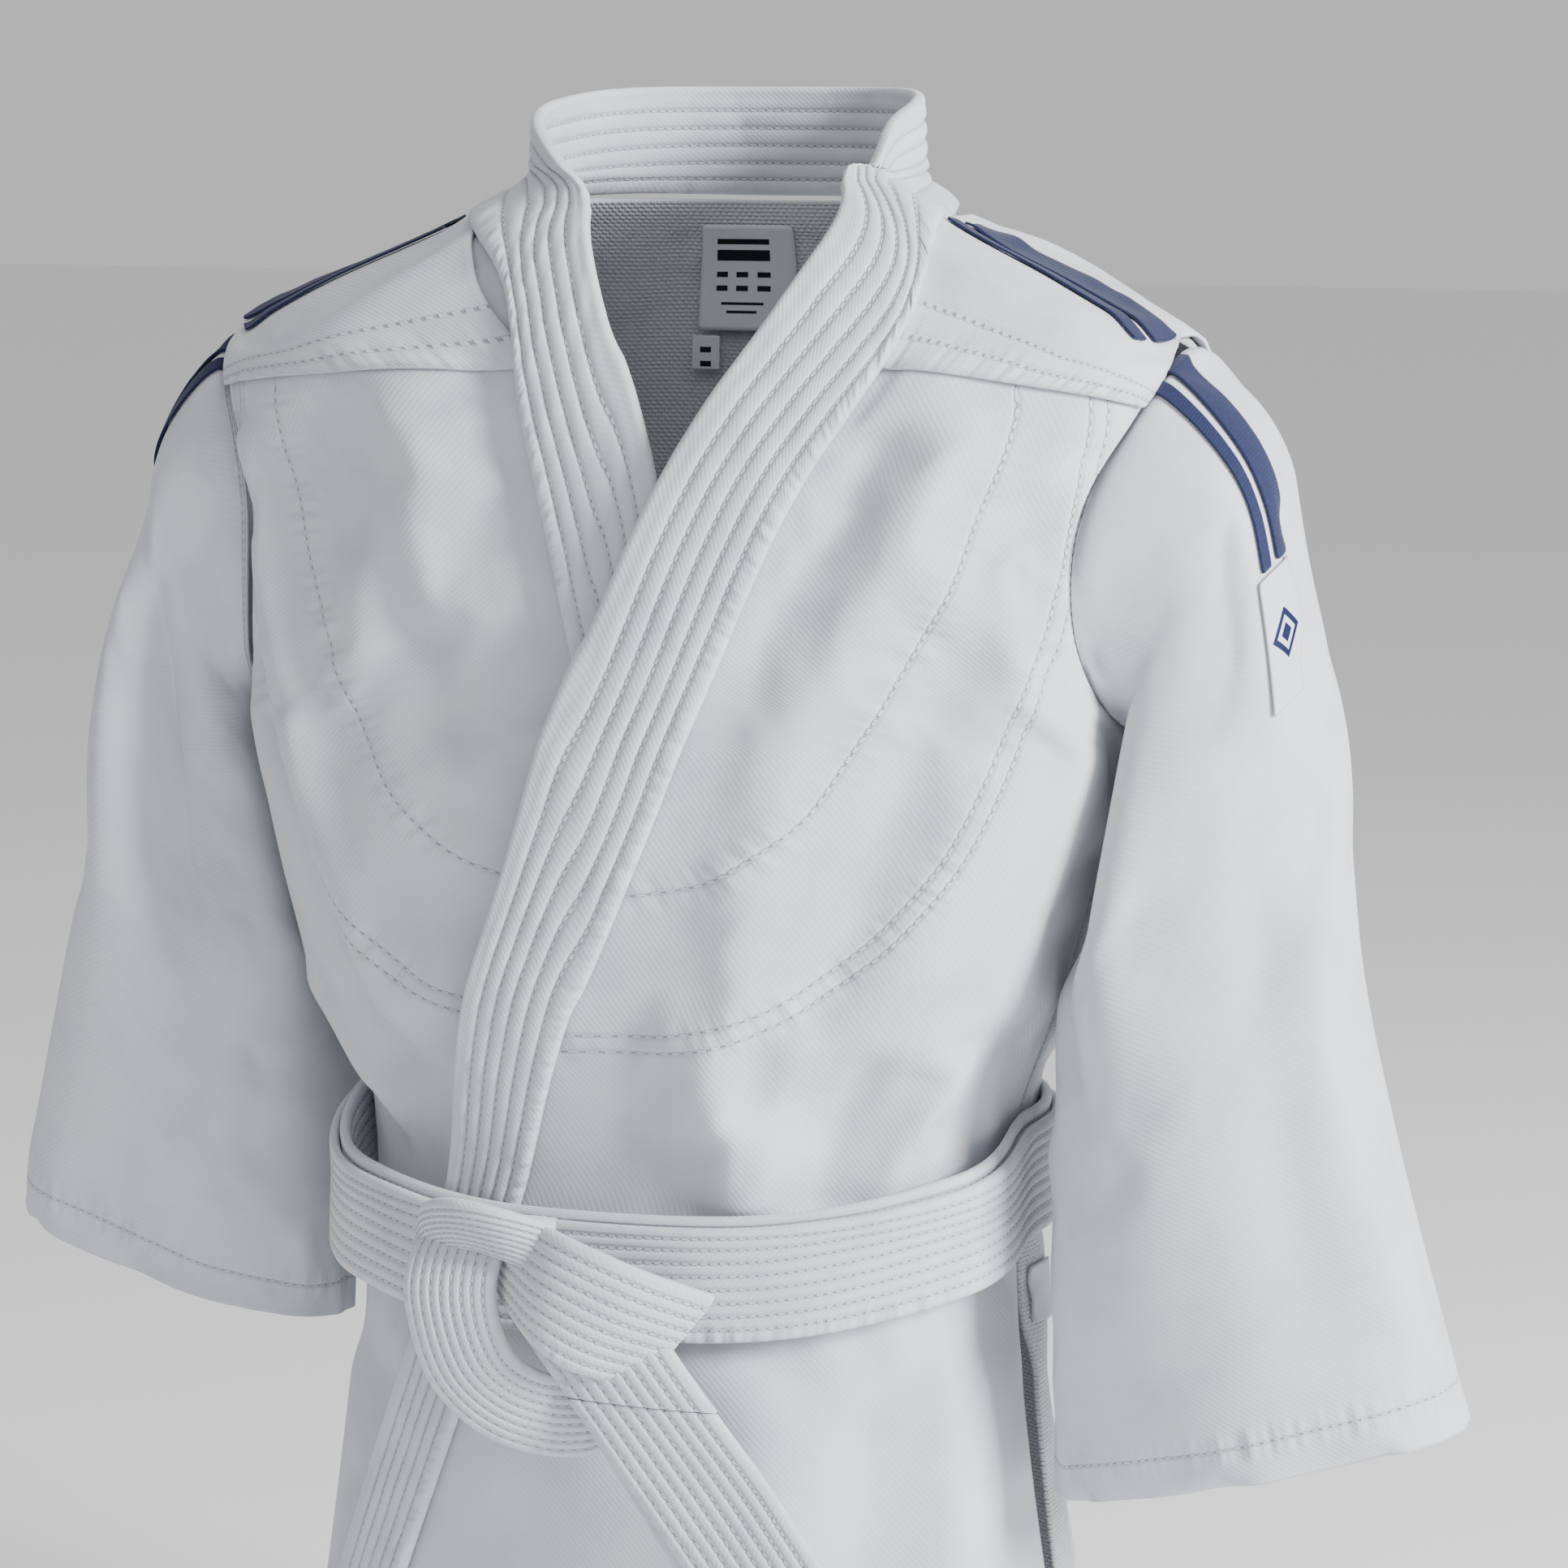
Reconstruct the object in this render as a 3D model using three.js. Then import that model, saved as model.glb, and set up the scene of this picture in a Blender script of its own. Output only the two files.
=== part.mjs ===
// A child's judo-style jacket, closed left over right and tied with a quilted belt.
// Millimetres, +Z up. The origin is the middle of the neck opening, and the wearer faces -Y.
import * as THREE from "three";
import { mergeVertices } from "three/addons/utils/BufferGeometryUtils.js";

// Body
const BODY_LENGTH = 560;
const NECK_HALF_WIDTH = 61;
const NECK_HALF_DEPTH = 51;
const NECK_SET_BACK = 25;
const SHOULDER_HALF_WIDTH = 176;
const SHOULDER_DROP = 60;
const CHEST_HALF_DEPTH = 91;
const WAIST_HALF_WIDTH = 113;
const WAIST_HALF_DEPTH = 81;
const HEM_HALF_WIDTH = 146;
const HEM_HALF_DEPTH = 106;
const WAIST_DROP = 322;
const FRONT_DIP = 24;
const ROUNDNESS = 2.4;

// Cloth
const FABRIC = 1.6;
const GAP = 0.6;

// Collar and lapels
const COLLAR_STAND = 42;
const LAPEL_THICKNESS = 4.6;
const RIGHT_LAPEL_LEAN = 20;

// Sleeves
const ARMHOLE_DEPTH = 122;
const ARMHOLE_ANGLE = 34;
const LEFT_SLEEVE_LENGTH = 360;
const RIGHT_SLEEVE_LENGTH = 325;
const LEFT_SLEEVE_HEM_WIDTH = 136;
const RIGHT_SLEEVE_HEM_WIDTH = 122;
const LEFT_SLEEVE_SPREAD = 62;
const RIGHT_SLEEVE_SPREAD = 48;
const LEFT_SLEEVE_FLARE = 100;
const RIGHT_SLEEVE_FLARE = 80;
const SLEEVE_HEM_DEPTH = 72;
const SLEEVE_FACING = 18;
const SLEEVE_CLEARANCE = 9;

// Belt
const BELT_WIDTH = 40;
const BELT_THICKNESS = 3.6;
const TAIL_LENGTH = 180;
const TAIL_CLEARANCE = 14;

// Skirt
const SKIRT_GAP = 12;
const HEM_FACING = 20;

// Marks
const BROAD_TAPE = 13;
const NARROW_TAPE = 5;
const TAPE_THICKNESS = 0.8;
const LABEL_WIDTH = 30;
const LABEL_HEIGHT = 38;

const group = new THREE.Group();
const cloth = { color: "#eef0f2", roughness: 0.9 };
const quilt = { color: "#f4f5f5", roughness: 0.85 };
const core = { color: "#dcdcd8", roughness: 0.95 };
const tape = { color: "#10265a", roughness: 0.7 };
const woven = { color: "#cfd2d8", roughness: 0.6 };

// The measured form under the jacket: depth below the neck, half width, half depth, middle of depth.
const SHOULDER = SHOULDER_HALF_WIDTH - NECK_HALF_WIDTH;
const FORM = [
  [COLLAR_STAND + 8, NECK_HALF_WIDTH - 3, NECK_HALF_DEPTH - 2, NECK_SET_BACK],
  [4, NECK_HALF_WIDTH, NECK_HALF_DEPTH, NECK_SET_BACK - 1],
  [-0.12 * SHOULDER_DROP, NECK_HALF_WIDTH + 0.27 * SHOULDER, NECK_HALF_DEPTH + 9, NECK_SET_BACK - 5],
  [-0.32 * SHOULDER_DROP, NECK_HALF_WIDTH + 0.55 * SHOULDER, NECK_HALF_DEPTH + 15, NECK_SET_BACK - 8],
  [-0.5 * SHOULDER_DROP, NECK_HALF_WIDTH + 0.77 * SHOULDER, NECK_HALF_DEPTH + 19, NECK_SET_BACK - 11],
  [-0.72 * SHOULDER_DROP, NECK_HALF_WIDTH + 0.95 * SHOULDER, NECK_HALF_DEPTH + 22, NECK_SET_BACK - 15],
  [-SHOULDER_DROP, SHOULDER_HALF_WIDTH, CHEST_HALF_DEPTH - 15, NECK_SET_BACK - 18],
  [-2 * SHOULDER_DROP, SHOULDER_HALF_WIDTH - 8, CHEST_HALF_DEPTH - 6, 2],
  [-0.55 * WAIST_DROP, SHOULDER_HALF_WIDTH - 22, CHEST_HALF_DEPTH, -2],
  [-0.8 * WAIST_DROP, WAIST_HALF_WIDTH + 18, CHEST_HALF_DEPTH - 2, -3],
  [-WAIST_DROP + 0.6 * BELT_WIDTH, WAIST_HALF_WIDTH + 2, WAIST_HALF_DEPTH + 3, -1],
  [-WAIST_DROP, WAIST_HALF_WIDTH, WAIST_HALF_DEPTH, 0],
  [-WAIST_DROP - FRONT_DIP - 0.6 * BELT_WIDTH, WAIST_HALF_WIDTH + 2, WAIST_HALF_DEPTH + 2, 0],
  [-BODY_LENGTH, HEM_HALF_WIDTH, HEM_HALF_DEPTH, 0],
];

function mix(a, b, f) {
  return a + (b - a) * f;
}

// A smooth rise from 0 to 1 as x goes from a to b.
function rise(x, a, b) {
  const f = THREE.MathUtils.clamp((x - a) / (b - a), 0, 1);
  return f * f * (3 - 2 * f);
}

// The value of a table of [key, value, ...] rows at x, with keys in either order.
function lookUp(table, x, column = 1) {
  const sign = Math.sign(table[1][0] - table[0][0]);
  let i = 1;
  while (i < table.length - 1 && sign * x > sign * table[i][0]) i++;
  const [a, b] = [table[i - 1], table[i]];
  const f = THREE.MathUtils.clamp((x - a[0]) / (b[0] - a[0]), 0, 1);
  return mix(a[column], b[column], f);
}

// Half width, half depth and middle at a level, averaged so the form has no creases.
function level(z, column) {
  return (lookUp(FORM, z - 6, column) + lookUp(FORM, z, column) + lookUp(FORM, z + 6, column)) / 3;
}

// A point of the form. The angle runs from the wearer's left side (0) over the front (90) to the right.
function formPoint(angle, z) {
  const t = THREE.MathUtils.degToRad(angle);
  const round = (v) => Math.sign(v) * Math.abs(v) ** (2 / ROUNDNESS);
  const x = level(z, 1) * round(Math.cos(t));
  const y = level(z, 3) - level(z, 2) * round(Math.sin(t));
  return new THREE.Vector3(x, y, z);
}

// The same point moved out along the form's own normal.
function onForm(angle, z, out) {
  const point = formPoint(angle, z);
  const across = formPoint(angle + 1, z).sub(formPoint(angle - 1, z));
  const down = formPoint(angle, z - 5).sub(formPoint(angle, z + 5));
  const normal = across.cross(down).normalize();
  return point.addScaledVector(normal, out);
}

// The middle of the belt dips towards the front.
function beltLevel(angle) {
  const forward = Math.max(0, Math.sin(THREE.MathUtils.degToRad(angle)));
  return -WAIST_DROP - FRONT_DIP * forward ** 1.5;
}

// Turns a geometry's faces outward if its volume comes out negative.
function facingOut(geometry) {
  const p = geometry.getAttribute("position");
  const index = geometry.index.array;
  const [a, b, c] = [new THREE.Vector3(), new THREE.Vector3(), new THREE.Vector3()];
  let volume = 0;
  for (let i = 0; i < index.length; i += 3) {
    a.fromBufferAttribute(p, index[i]);
    b.fromBufferAttribute(p, index[i + 1]);
    c.fromBufferAttribute(p, index[i + 2]);
    volume += a.dot(b.cross(c));
  }
  if (volume < 0) {
    for (let i = 0; i < index.length; i += 3) [index[i], index[i + 1]] = [index[i + 1], index[i]];
  }
  geometry.computeVertexNormals();
  return geometry;
}

// Moves every vertex of a geometry by a function of its own x, y and z.
function remapped(source, place) {
  const plain = new THREE.BufferGeometry();
  plain.setAttribute("position", source.getAttribute("position").clone());
  if (source.index) plain.setIndex(source.index.clone());
  const geometry = mergeVertices(plain, 1e-5);
  const p = geometry.getAttribute("position");
  for (let i = 0; i < p.count; i++) {
    const v = place(p.getX(i), p.getY(i), p.getZ(i));
    p.setXYZ(i, v.x, v.y, v.z);
  }
  return facingOut(geometry);
}

function add(name, geometry, look) {
  const material = new THREE.MeshStandardMaterial({ metalness: 0, ...look });
  const mesh = new THREE.Mesh(geometry, material);
  mesh.name = name;
  group.add(mesh);
  return mesh;
}

// A closed sheet: place(u, v, w) with u and v across it and w through its thickness, all from 0 to 1.
function sheet(across, down, place) {
  const box = new THREE.BoxGeometry(1, 1, 1, across, down, 1);
  return remapped(box, (x, y, z) => place(x + 0.5, y + 0.5, z + 0.5));
}

// A closed hoop: place(turn, v, w) with turn from 0 to 1 once round.
function hoop(round, down, place) {
  const outline = [];
  for (let i = 0; i <= down; i++) outline.push(new THREE.Vector2(2, i / down));
  for (let i = down; i >= 0; i--) outline.push(new THREE.Vector2(1, i / down));
  outline.push(new THREE.Vector2(2, 0));
  const lathe = new THREE.LatheGeometry(outline, round);
  return remapped(lathe, (x, y, z) => {
    const turn = (Math.atan2(x, z) / (2 * Math.PI) + 1) % 1;
    return place(turn > 0.9999999 ? 0 : turn, y, Math.hypot(x, z) - 1);
  });
}

// Front overlap: how far out the left front and the belt lie over the right front at an angle.
const LAPEL_STACK = FABRIC + LAPEL_THICKNESS + 4 * GAP;
const BELT_STACK = 2 * LAPEL_STACK + 1;

// The skirt panels hang from just below the belt, outside the ends of the body panels.
function skirtTop(angle) {
  return beltLevel(angle) - BELT_WIDTH / 2 - SKIRT_GAP;
}

// How far the left front stands off the form to clear the right one. The right front lies on the form.
function frontOut(side, angle) {
  if (side < 0) return 0;
  return LAPEL_STACK * rise(angle, 8, 36);
}

function beltOut(angle) {
  const forward = rise(angle, 1, 32) * (1 - rise(angle, 128, 172));
  return mix(FABRIC + 1.4, BELT_STACK, forward);
}

// Lapel edges from the back neck to the hem: share of the run, then angle and depth below the neck of
// the sewn edge and of the free edge. Angles are for the left lapel; the right one is its mirror.
const RUN = WAIST_DROP;
const LAPEL_FOOT = skirtTop(120) + 4;
const NECKLINE = [
  [0, -90, 3, -90, COLLAR_STAND],
  [0.06, -60, 3, -60, COLLAR_STAND],
  [0.11, -30, 1, -34, COLLAR_STAND],
  [0.15, -8, -3, -10, COLLAR_STAND - 3],
  [0.2, 24, -6, 10, 33],
  [0.26, 46, -0.058 * RUN, 25, 20],
  [0.34, 59, -0.12 * RUN, 47, -0.01 * RUN],
  [0.42, 66, -0.19 * RUN, 70, -0.07 * RUN],
  [0.5, 71, -0.27 * RUN, 81, -0.17 * RUN],
  [0.58, 75, -0.37 * RUN, 87, -0.31 * RUN],
  [0.66, 79, -0.5 * RUN, 91, -0.47 * RUN],
  [0.76, 86, -0.68 * RUN, 97, -0.66 * RUN],
  [0.88, 93, -0.86 * RUN, 107, -0.85 * RUN],
  [1, 101, -1.04 * RUN, 115, -1.05 * RUN],
  [1.08, 105.5, LAPEL_FOOT, 119.5, LAPEL_FOOT],
];

// The right lapel lies nearer the middle than the left one, pulled across under it.
const LEAN = [[0.08, 0, 0], [0.15, 0.5, 0.3], [0.2, 1.1, 0.8], [0.26, 1.3, 1.45], [0.34, 1.05, 1.6],
  [0.42, 0.8, 0.87], [0.5, 0.67, 0.52], [0.66, 0.55, 0.3], [0.88, 0.3, 0.15], [1, 0.1, 0], [1.08, 0, 0]];
const NECKLINES = {
  1: NECKLINE,
  [-1]: NECKLINE.map(([s, sewn, sewnLevel, free, freeLevel]) => [
    s,
    sewn + RIGHT_LAPEL_LEAN * lookUp(LEAN, s, 1),
    sewnLevel,
    free + RIGHT_LAPEL_LEAN * lookUp(LEAN, s, 2),
    freeLevel,
  ]),
};

// A point of a lapel: side 1 is the left lapel and -1 the right, s its run, w from sewn to free edge.
// Between the creases across its width the band is flat, so that what lies inside it nests.
const CREASES = [0, 0.3, 0.6, 0.97, 1];
function lapelPoint(side, s, w, out) {
  const i = Math.max(1, CREASES.findIndex((crease) => w <= crease));
  const f = (w - CREASES[i - 1]) / (CREASES[i] - CREASES[i - 1]);
  const p = creasePoint(side, s, CREASES[i - 1], out);
  return p.lerp(creasePoint(side, s, CREASES[i], out), f);
}

function creasePoint(side, s, w, out) {
  const line = NECKLINES[side];
  const angle = mix(lookUp(line, s, 1), lookUp(line, s, 3), w);
  const z = mix(lookUp(line, s, 2), lookUp(line, s, 4), w);
  const base = frontOut(side, angle);
  const p = onForm(angle, z, out + base);
  p.x *= side;
  return p;
}

// The angle of the lapel's middle line at a level, where the front panels end underneath it.
function lapelAngle(side, z, w) {
  const rows = NECKLINES[side].slice(3).map((r) => [mix(r[2], r[4], w), mix(r[1], r[3], w)]);
  return lookUp(rows, z);
}

// Armhole: a share of the form cut out at each side between the shoulder point and the underarm.
const SHOULDER_POINT = -0.72 * SHOULDER_DROP;
const UNDERARM = SHOULDER_POINT - ARMHOLE_DEPTH;

function armholeAngle(z) {
  const f = (2 * (z - SHOULDER_POINT)) / ARMHOLE_DEPTH + 1;
  return ARMHOLE_ANGLE * Math.sqrt(Math.max(0, 1 - f * f));
}

function levels(rows) {
  return (v) => lookUp(rows.map((z, i) => [i / (rows.length - 1), z]), v);
}

const quarter = ARMHOLE_DEPTH / 8;
const ARM_ROWS = [0, 0.2, 0.7, 1.7, 3, 4, 5, 6.3, 7.3, 7.8, 8].map((k) => SHOULDER_POINT - k * quarter);
const LOW_ROWS = [0.62, 0.72, 0.82, 0.92, 1].map((k) => -k * (WAIST_DROP - 22));
const BODY_ROWS = [-9, -16, -24, -33, ...ARM_ROWS, ...LOW_ROWS];
const frontLevel = levels(BODY_ROWS);
const backLevel = levels([2, -3, ...BODY_ROWS]);

// The body panels end just below the belt, level with the tops of the skirt panels outside them.
function panelLevel(levelAt, v, angle) {
  const waist = 0.93;
  const z = levelAt(Math.min(1, v / waist));
  return v <= waist ? z : mix(z, skirtTop(angle), (v - waist) / (1 - waist));
}

function frontPanel(side, inner, outer) {
  return sheet(12, 24, (u, v, w) => {
    const z = panelLevel(frontLevel, 1 - v, 60);
    const start = Math.max(armholeAngle(z), 0.4);
    const end = Math.max(start + 3, lapelAngle(side, z, 0.12));
    const angle = mix(start, end, u);
    const low = panelLevel(frontLevel, 1 - v, angle);
    const p = onForm(angle, low, mix(inner, outer, w) + frontOut(side, angle));
    p.x *= side;
    return p;
  });
}

const backPanel = sheet(14, 26, (u, v, w) => {
  const z = panelLevel(backLevel, 1 - v, 270);
  const start = Math.max(armholeAngle(z), 0.4);
  return onForm(mix(180 + start, 360 - start, u), z, FABRIC * w);
});
add("back_panel", backPanel, cloth);
for (const [side, name] of [[1, "left"], [-1, "right"]]) {
  add("front_panel_" + name, frontPanel(side, 0, FABRIC), cloth);

  // Shoulder yoke: a second layer from the neck to the armhole, over the ridge of the shoulder.
  const yoke = sheet(9, 12, (u, v, w) => {
    const forward = v * 2 - 1;
    const ridge = mix(-13, SHOULDER_POINT + 4, u);
    const reach = Math.abs(forward);
    const edgeAngle = forward > 0 ? mix(58, 24, u) : mix(62, 26, u);
    const angle = edgeAngle * forward;
    const drop = mix(forward > 0 ? -40 : -34, SHOULDER_POINT + 1, u);
    const p = onForm(angle, mix(ridge, drop, reach ** 1.7), frontOut(side, angle) + FABRIC + GAP + 0.6 + 1.4 * w);
    p.x *= side;
    return p;
  });
  add("shoulder_yoke_" + name, yoke, cloth);

  // Chest reinforcement: a second layer inside the front, held by the curved rows of stitching.
  const reinforcement = sheet(6, 10, (u, v, w) => {
    const z = mix(-SHOULDER_DROP, -0.82 * WAIST_DROP, 1 - v);
    const start = Math.max(armholeAngle(z) + 4, 4);
    const angle = mix(start, mix(50, 60, v), u);
    const base = frontOut(side, angle);
    const p = onForm(angle, z, base - 2 * GAP - 0.5 - 1.4 * w);
    p.x *= side;
    return p;
  });
  add("chest_reinforcement_" + name, reinforcement, cloth);
}

// A lapel cover is folded round its core: over the top, round the free edge and back underneath.
const SKIN = 0.8;
const LAPEL_BASE = FABRIC + 2.4 * GAP;
const CORE_STEPS = [0.16, 0.3, 0.6, 0.85];
function coverOutline() {
  const bottom = LAPEL_BASE;
  const top = bottom + LAPEL_THICKNESS;
  const outline = new THREE.Shape();
  outline.moveTo(0, bottom);
  for (const w of [0.3, 0.6, 0.97]) outline.lineTo(w, bottom);
  outline.lineTo(1, bottom + 0.3 * LAPEL_THICKNESS);
  outline.lineTo(1, top - 0.3 * LAPEL_THICKNESS);
  for (const w of [0.97, 0.6, 0.3, 0]) outline.lineTo(w, top);
  for (const w of [0, 0.3, 0.6, 0.93]) outline.lineTo(w, top - SKIN);
  for (const w of [0.93, 0.6, 0.3, 0]) outline.lineTo(w, bottom + SKIN);
  return outline;
}

function lapelCover(steps, place) {
  const bar = new THREE.ExtrudeGeometry(coverOutline(), { depth: 1, steps, bevelEnabled: false });
  return remapped(bar, (x, y, z) => place(z, x, y));
}

function lapelCore(steps, place) {
  const bottom = LAPEL_BASE + SKIN + 0.8;
  const thickness = LAPEL_THICKNESS - 2 * SKIN - 1.6;
  return sheet(3, steps, (u, v, w) => place(v, CORE_STEPS[Math.round(3 * u)], bottom + thickness * w));
}

// The collar band crosses the back of the neck, so the two halves of its run meet there.
const COLLAR_END = 0.2;
const COLLAR_SEAM = 0.009;
const LAPEL_END = 1.08;
function collarPoint(f, w, out) {
  const s = (f - 0.5) * 2 * (COLLAR_END - COLLAR_SEAM);
  return lapelPoint(s < 0 ? -1 : 1, Math.abs(s), w, out);
}

add("collar_cover_back", lapelCover(26, collarPoint), cloth);
add("collar_core_back", lapelCore(26, (f, w, out) => collarPoint(mix(0.03, 0.97, f), w, out)), core);

for (const [side, name] of [[1, "left"], [-1, "right"]]) {
  const along = (f, w, out) => lapelPoint(side, mix(COLLAR_END, LAPEL_END, f ** 1.4), w, out);
  add("lapel_cover_" + name, lapelCover(28, along), cloth);
  add("lapel_core_" + name, lapelCore(28, (f, w, out) => along(mix(0.004, 0.996, f), w, out)), core);
}

// Neck label and size tab, sewn inside the back below the collar.
function insideBack(middle, top, width, height) {
  return sheet(3, 3, (u, v, w) => {
    const z = top - height * (1 - v);
    const angle = 270 + ((middle + width * (u - 0.5)) / level(z, 1)) * 52;
    return onForm(angle, z, -GAP - 0.6 * w);
  });
}
add("neck_label", insideBack(-14, -6, LABEL_WIDTH, LABEL_HEIGHT), tape);
add("size_tab", insideBack(-26, -8 - LABEL_HEIGHT, 10, 12), woven);

// Belt: two turns round the waist over the closed jacket.
function beltTurn(inner) {
  return hoop(44, 2, (turn, v, w) => {
    const angle = turn * 360;
    const shift = inner ? 2 : 0;
    const out = beltOut(angle) + (inner ? 0 : BELT_THICKNESS + GAP) + BELT_THICKNESS * w;
    return onForm(angle, beltLevel(angle) + shift + BELT_WIDTH * (v - 0.5), out);
  });
}
add("belt_inner_turn", beltTurn(true), quilt);
add("belt_outer_turn", beltTurn(false), quilt);

// A strap along a list of centre points, each with the direction of its width. Its thickness is upright
// to both.
function strap(points, width, thickness, steps, widths) {
  const path = new THREE.CatmullRomCurve3(points.map((p) => new THREE.Vector3(...p)));
  const turns = new THREE.CatmullRomCurve3(widths.map((p) => new THREE.Vector3(...p)));
  return sheet(2, steps, (u, v, w) => {
    const along = path.getTangent(v);
    const side = turns.getPoint(v).projectOnPlane(along).normalize();
    const up = new THREE.Vector3().crossVectors(along, side);
    return path
      .getPoint(v)
      .addScaledVector(side, width * (u - 0.5))
      .addScaledVector(up, thickness * (w - 0.5));
  });
}

// Knot: an upright loop, a cap over it and a lobe that wraps the front tail, ahead of the outer turn.
const KNOT_X = -8;
const KNOT_Z = beltLevel(90);
const beltFace = formPoint(90, KNOT_Z).y - BELT_STACK - 2 * BELT_THICKNESS - GAP;
const knotY = beltFace - GAP - 1;

const loop = strap(
  [
    [KNOT_X - 27, knotY - 3, KNOT_Z + 11],
    [KNOT_X - 29, knotY - 9, KNOT_Z + 4],
    [KNOT_X - 28, knotY - 11, KNOT_Z - 14],
    [KNOT_X - 24, knotY - 8, KNOT_Z - 32],
  ],
  34, BELT_THICKNESS, 10,
  [[1, 0, 0], [1, 0, 0.1], [1, -0.1, 0.1], [1, -0.2, 0.1]],
);
add("belt_knot_loop", loop, quilt);
const cap = strap(
  [
    [KNOT_X - 42, knotY - 3, KNOT_Z + 22],
    [KNOT_X - 24, knotY - 12, KNOT_Z + 27],
    [KNOT_X + 2, knotY - 17, KNOT_Z + 25],
    [KNOT_X + 16, knotY - 17, KNOT_Z + 22],
  ],
  13, BELT_THICKNESS, 10,
  [[0, -0.3, 1], [0, -0.4, 1], [0, -0.2, 1], [0.1, 0, 1]],
);
add("belt_knot_cap", cap, quilt);
const lobe = strap(
  [
    [KNOT_X + 2, knotY - 4, KNOT_Z + 8],
    [KNOT_X + 14, knotY - 7, KNOT_Z + 4],
    [KNOT_X + 30, knotY - 7, KNOT_Z - 3],
    [KNOT_X + 44, knotY - 3, KNOT_Z - 8],
  ],
  32, BELT_THICKNESS, 10,
  [[0.2, 0, 1], [0.3, 0, 1], [0.35, 0, 1], [0.4, 0, 1]],
);
add("belt_knot_lobe", lobe, quilt);

// Tails: the front one slants to the wearer's left, the rear one hangs behind it.
const tailTop = KNOT_Z - 0.72 * BELT_WIDTH - TAIL_CLEARANCE;
function tail(x, slant, gap, length) {
  const slope = new THREE.Vector3(slant, -0.06, -1).normalize();
  const y = knotY - gap;
  const points = [0, 0.3, 0.65, 1].map((f) => [
    x + slope.x * length * f,
    y + slope.y * length * f - 4 * Math.sin(Math.PI * f),
    tailTop + slope.z * length * f,
  ]);
  const side = [1, 0, slant];
  return strap(points, BELT_WIDTH, BELT_THICKNESS, 12, [side, side, side, side]);
}
add("belt_tail_front", tail(KNOT_X + 42, 0.84, 15, TAIL_LENGTH), quilt);
add("belt_tail_rear", tail(KNOT_X + 34, 0.78, 6, TAIL_LENGTH - 14), quilt);

// Sleeves. Each ring runs from the outer line of the sleeve (0) over the front (0.25) to the inner line.
const ARM_MIDDLE = SHOULDER_POINT - ARMHOLE_DEPTH / 2;
const SLEEVE_SEAM_GAP = 0.375 * LAPEL_STACK;
function sleeveOuter(s, { length, flare, spread }) {
  const x = SHOULDER_HALF_WIDTH;
  const top = SHOULDER_POINT;
  const line = [
    [0, x - 2, top],
    [0.06, x + 0.23 * spread, top - 13],
    [0.14, x + 0.44 * spread, top - 36],
    [0.3, x + 0.65 * spread, top - 0.25 * length],
    [0.6, x + spread, top - 0.57 * length],
    [1, x + flare, top - 0.97 * length],
  ];
  return [lookUp(line, s, 1), lookUp(line, s, 2)];
}

function sleeveInner(s, { length, flare, width }) {
  const x = SHOULDER_HALF_WIDTH;
  const top = UNDERARM;
  const low = SHOULDER_POINT - length - 24;
  const hem = x + flare - width;
  const line = [
    [0, x - 10, top],
    [0.06, x - 10, top - 3],
    [0.14, x - 20, top - 14],
    [0.3, x - 33, mix(top, low, 0.2)],
    [0.6, x - 40, mix(top, low, 0.55)],
    [1, hem, low],
  ];
  const z = lookUp(line, s, 2);
  return [Math.max(lookUp(line, s, 1), level(z, 1) + SLEEVE_CLEARANCE), z];
}

function armholePoint(turn) {
  const a = 2 * Math.PI * turn;
  const z = ARM_MIDDLE + (ARMHOLE_DEPTH / 2) * Math.cos(a);
  return formPoint(Math.sign(Math.sin(a)) * armholeAngle(z), z);
}

function sleeveLine(turn, s, cut) {
  const [ox, oz] = sleeveOuter(s, cut);
  const [ix, iz] = sleeveInner(s, cut);
  const a = 2 * Math.PI * turn;
  const round = (v, power) => Math.sign(v) * Math.abs(v) ** power;
  const c = round(Math.cos(a), 0.85);
  const depth = mix(50, SLEEVE_HEM_DEPTH / 2, rise(s, 0.1, 1));
  const y = mix(level(ARM_MIDDLE, 3), -16, rise(s, 0.05, 0.8)) - depth * round(Math.sin(a), 0.85);
  const point = new THREE.Vector3((ox + ix) / 2 + ((ox - ix) / 2) * c, y, (oz + iz) / 2 + ((oz - iz) / 2) * c);
  const arm = armholePoint(turn);
  arm.x += SLEEVE_SEAM_GAP;
  return arm.lerp(point, rise(s, 0, 0.13));
}

function sleevePoint(turn, s, out, cut, side) {
  const p = sleeveLine(turn, s, cut);
  const round = sleeveLine(turn + 0.01, s, cut).sub(sleeveLine(turn - 0.01, s, cut));
  const low = Math.max(0, s - 0.02);
  const high = Math.min(1, s + 0.02);
  const along = sleeveLine(turn, high, cut).sub(sleeveLine(turn, low, cut));
  p.addScaledVector(round.cross(along).normalize(), out);
  p.x *= side;
  return p;
}

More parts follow.
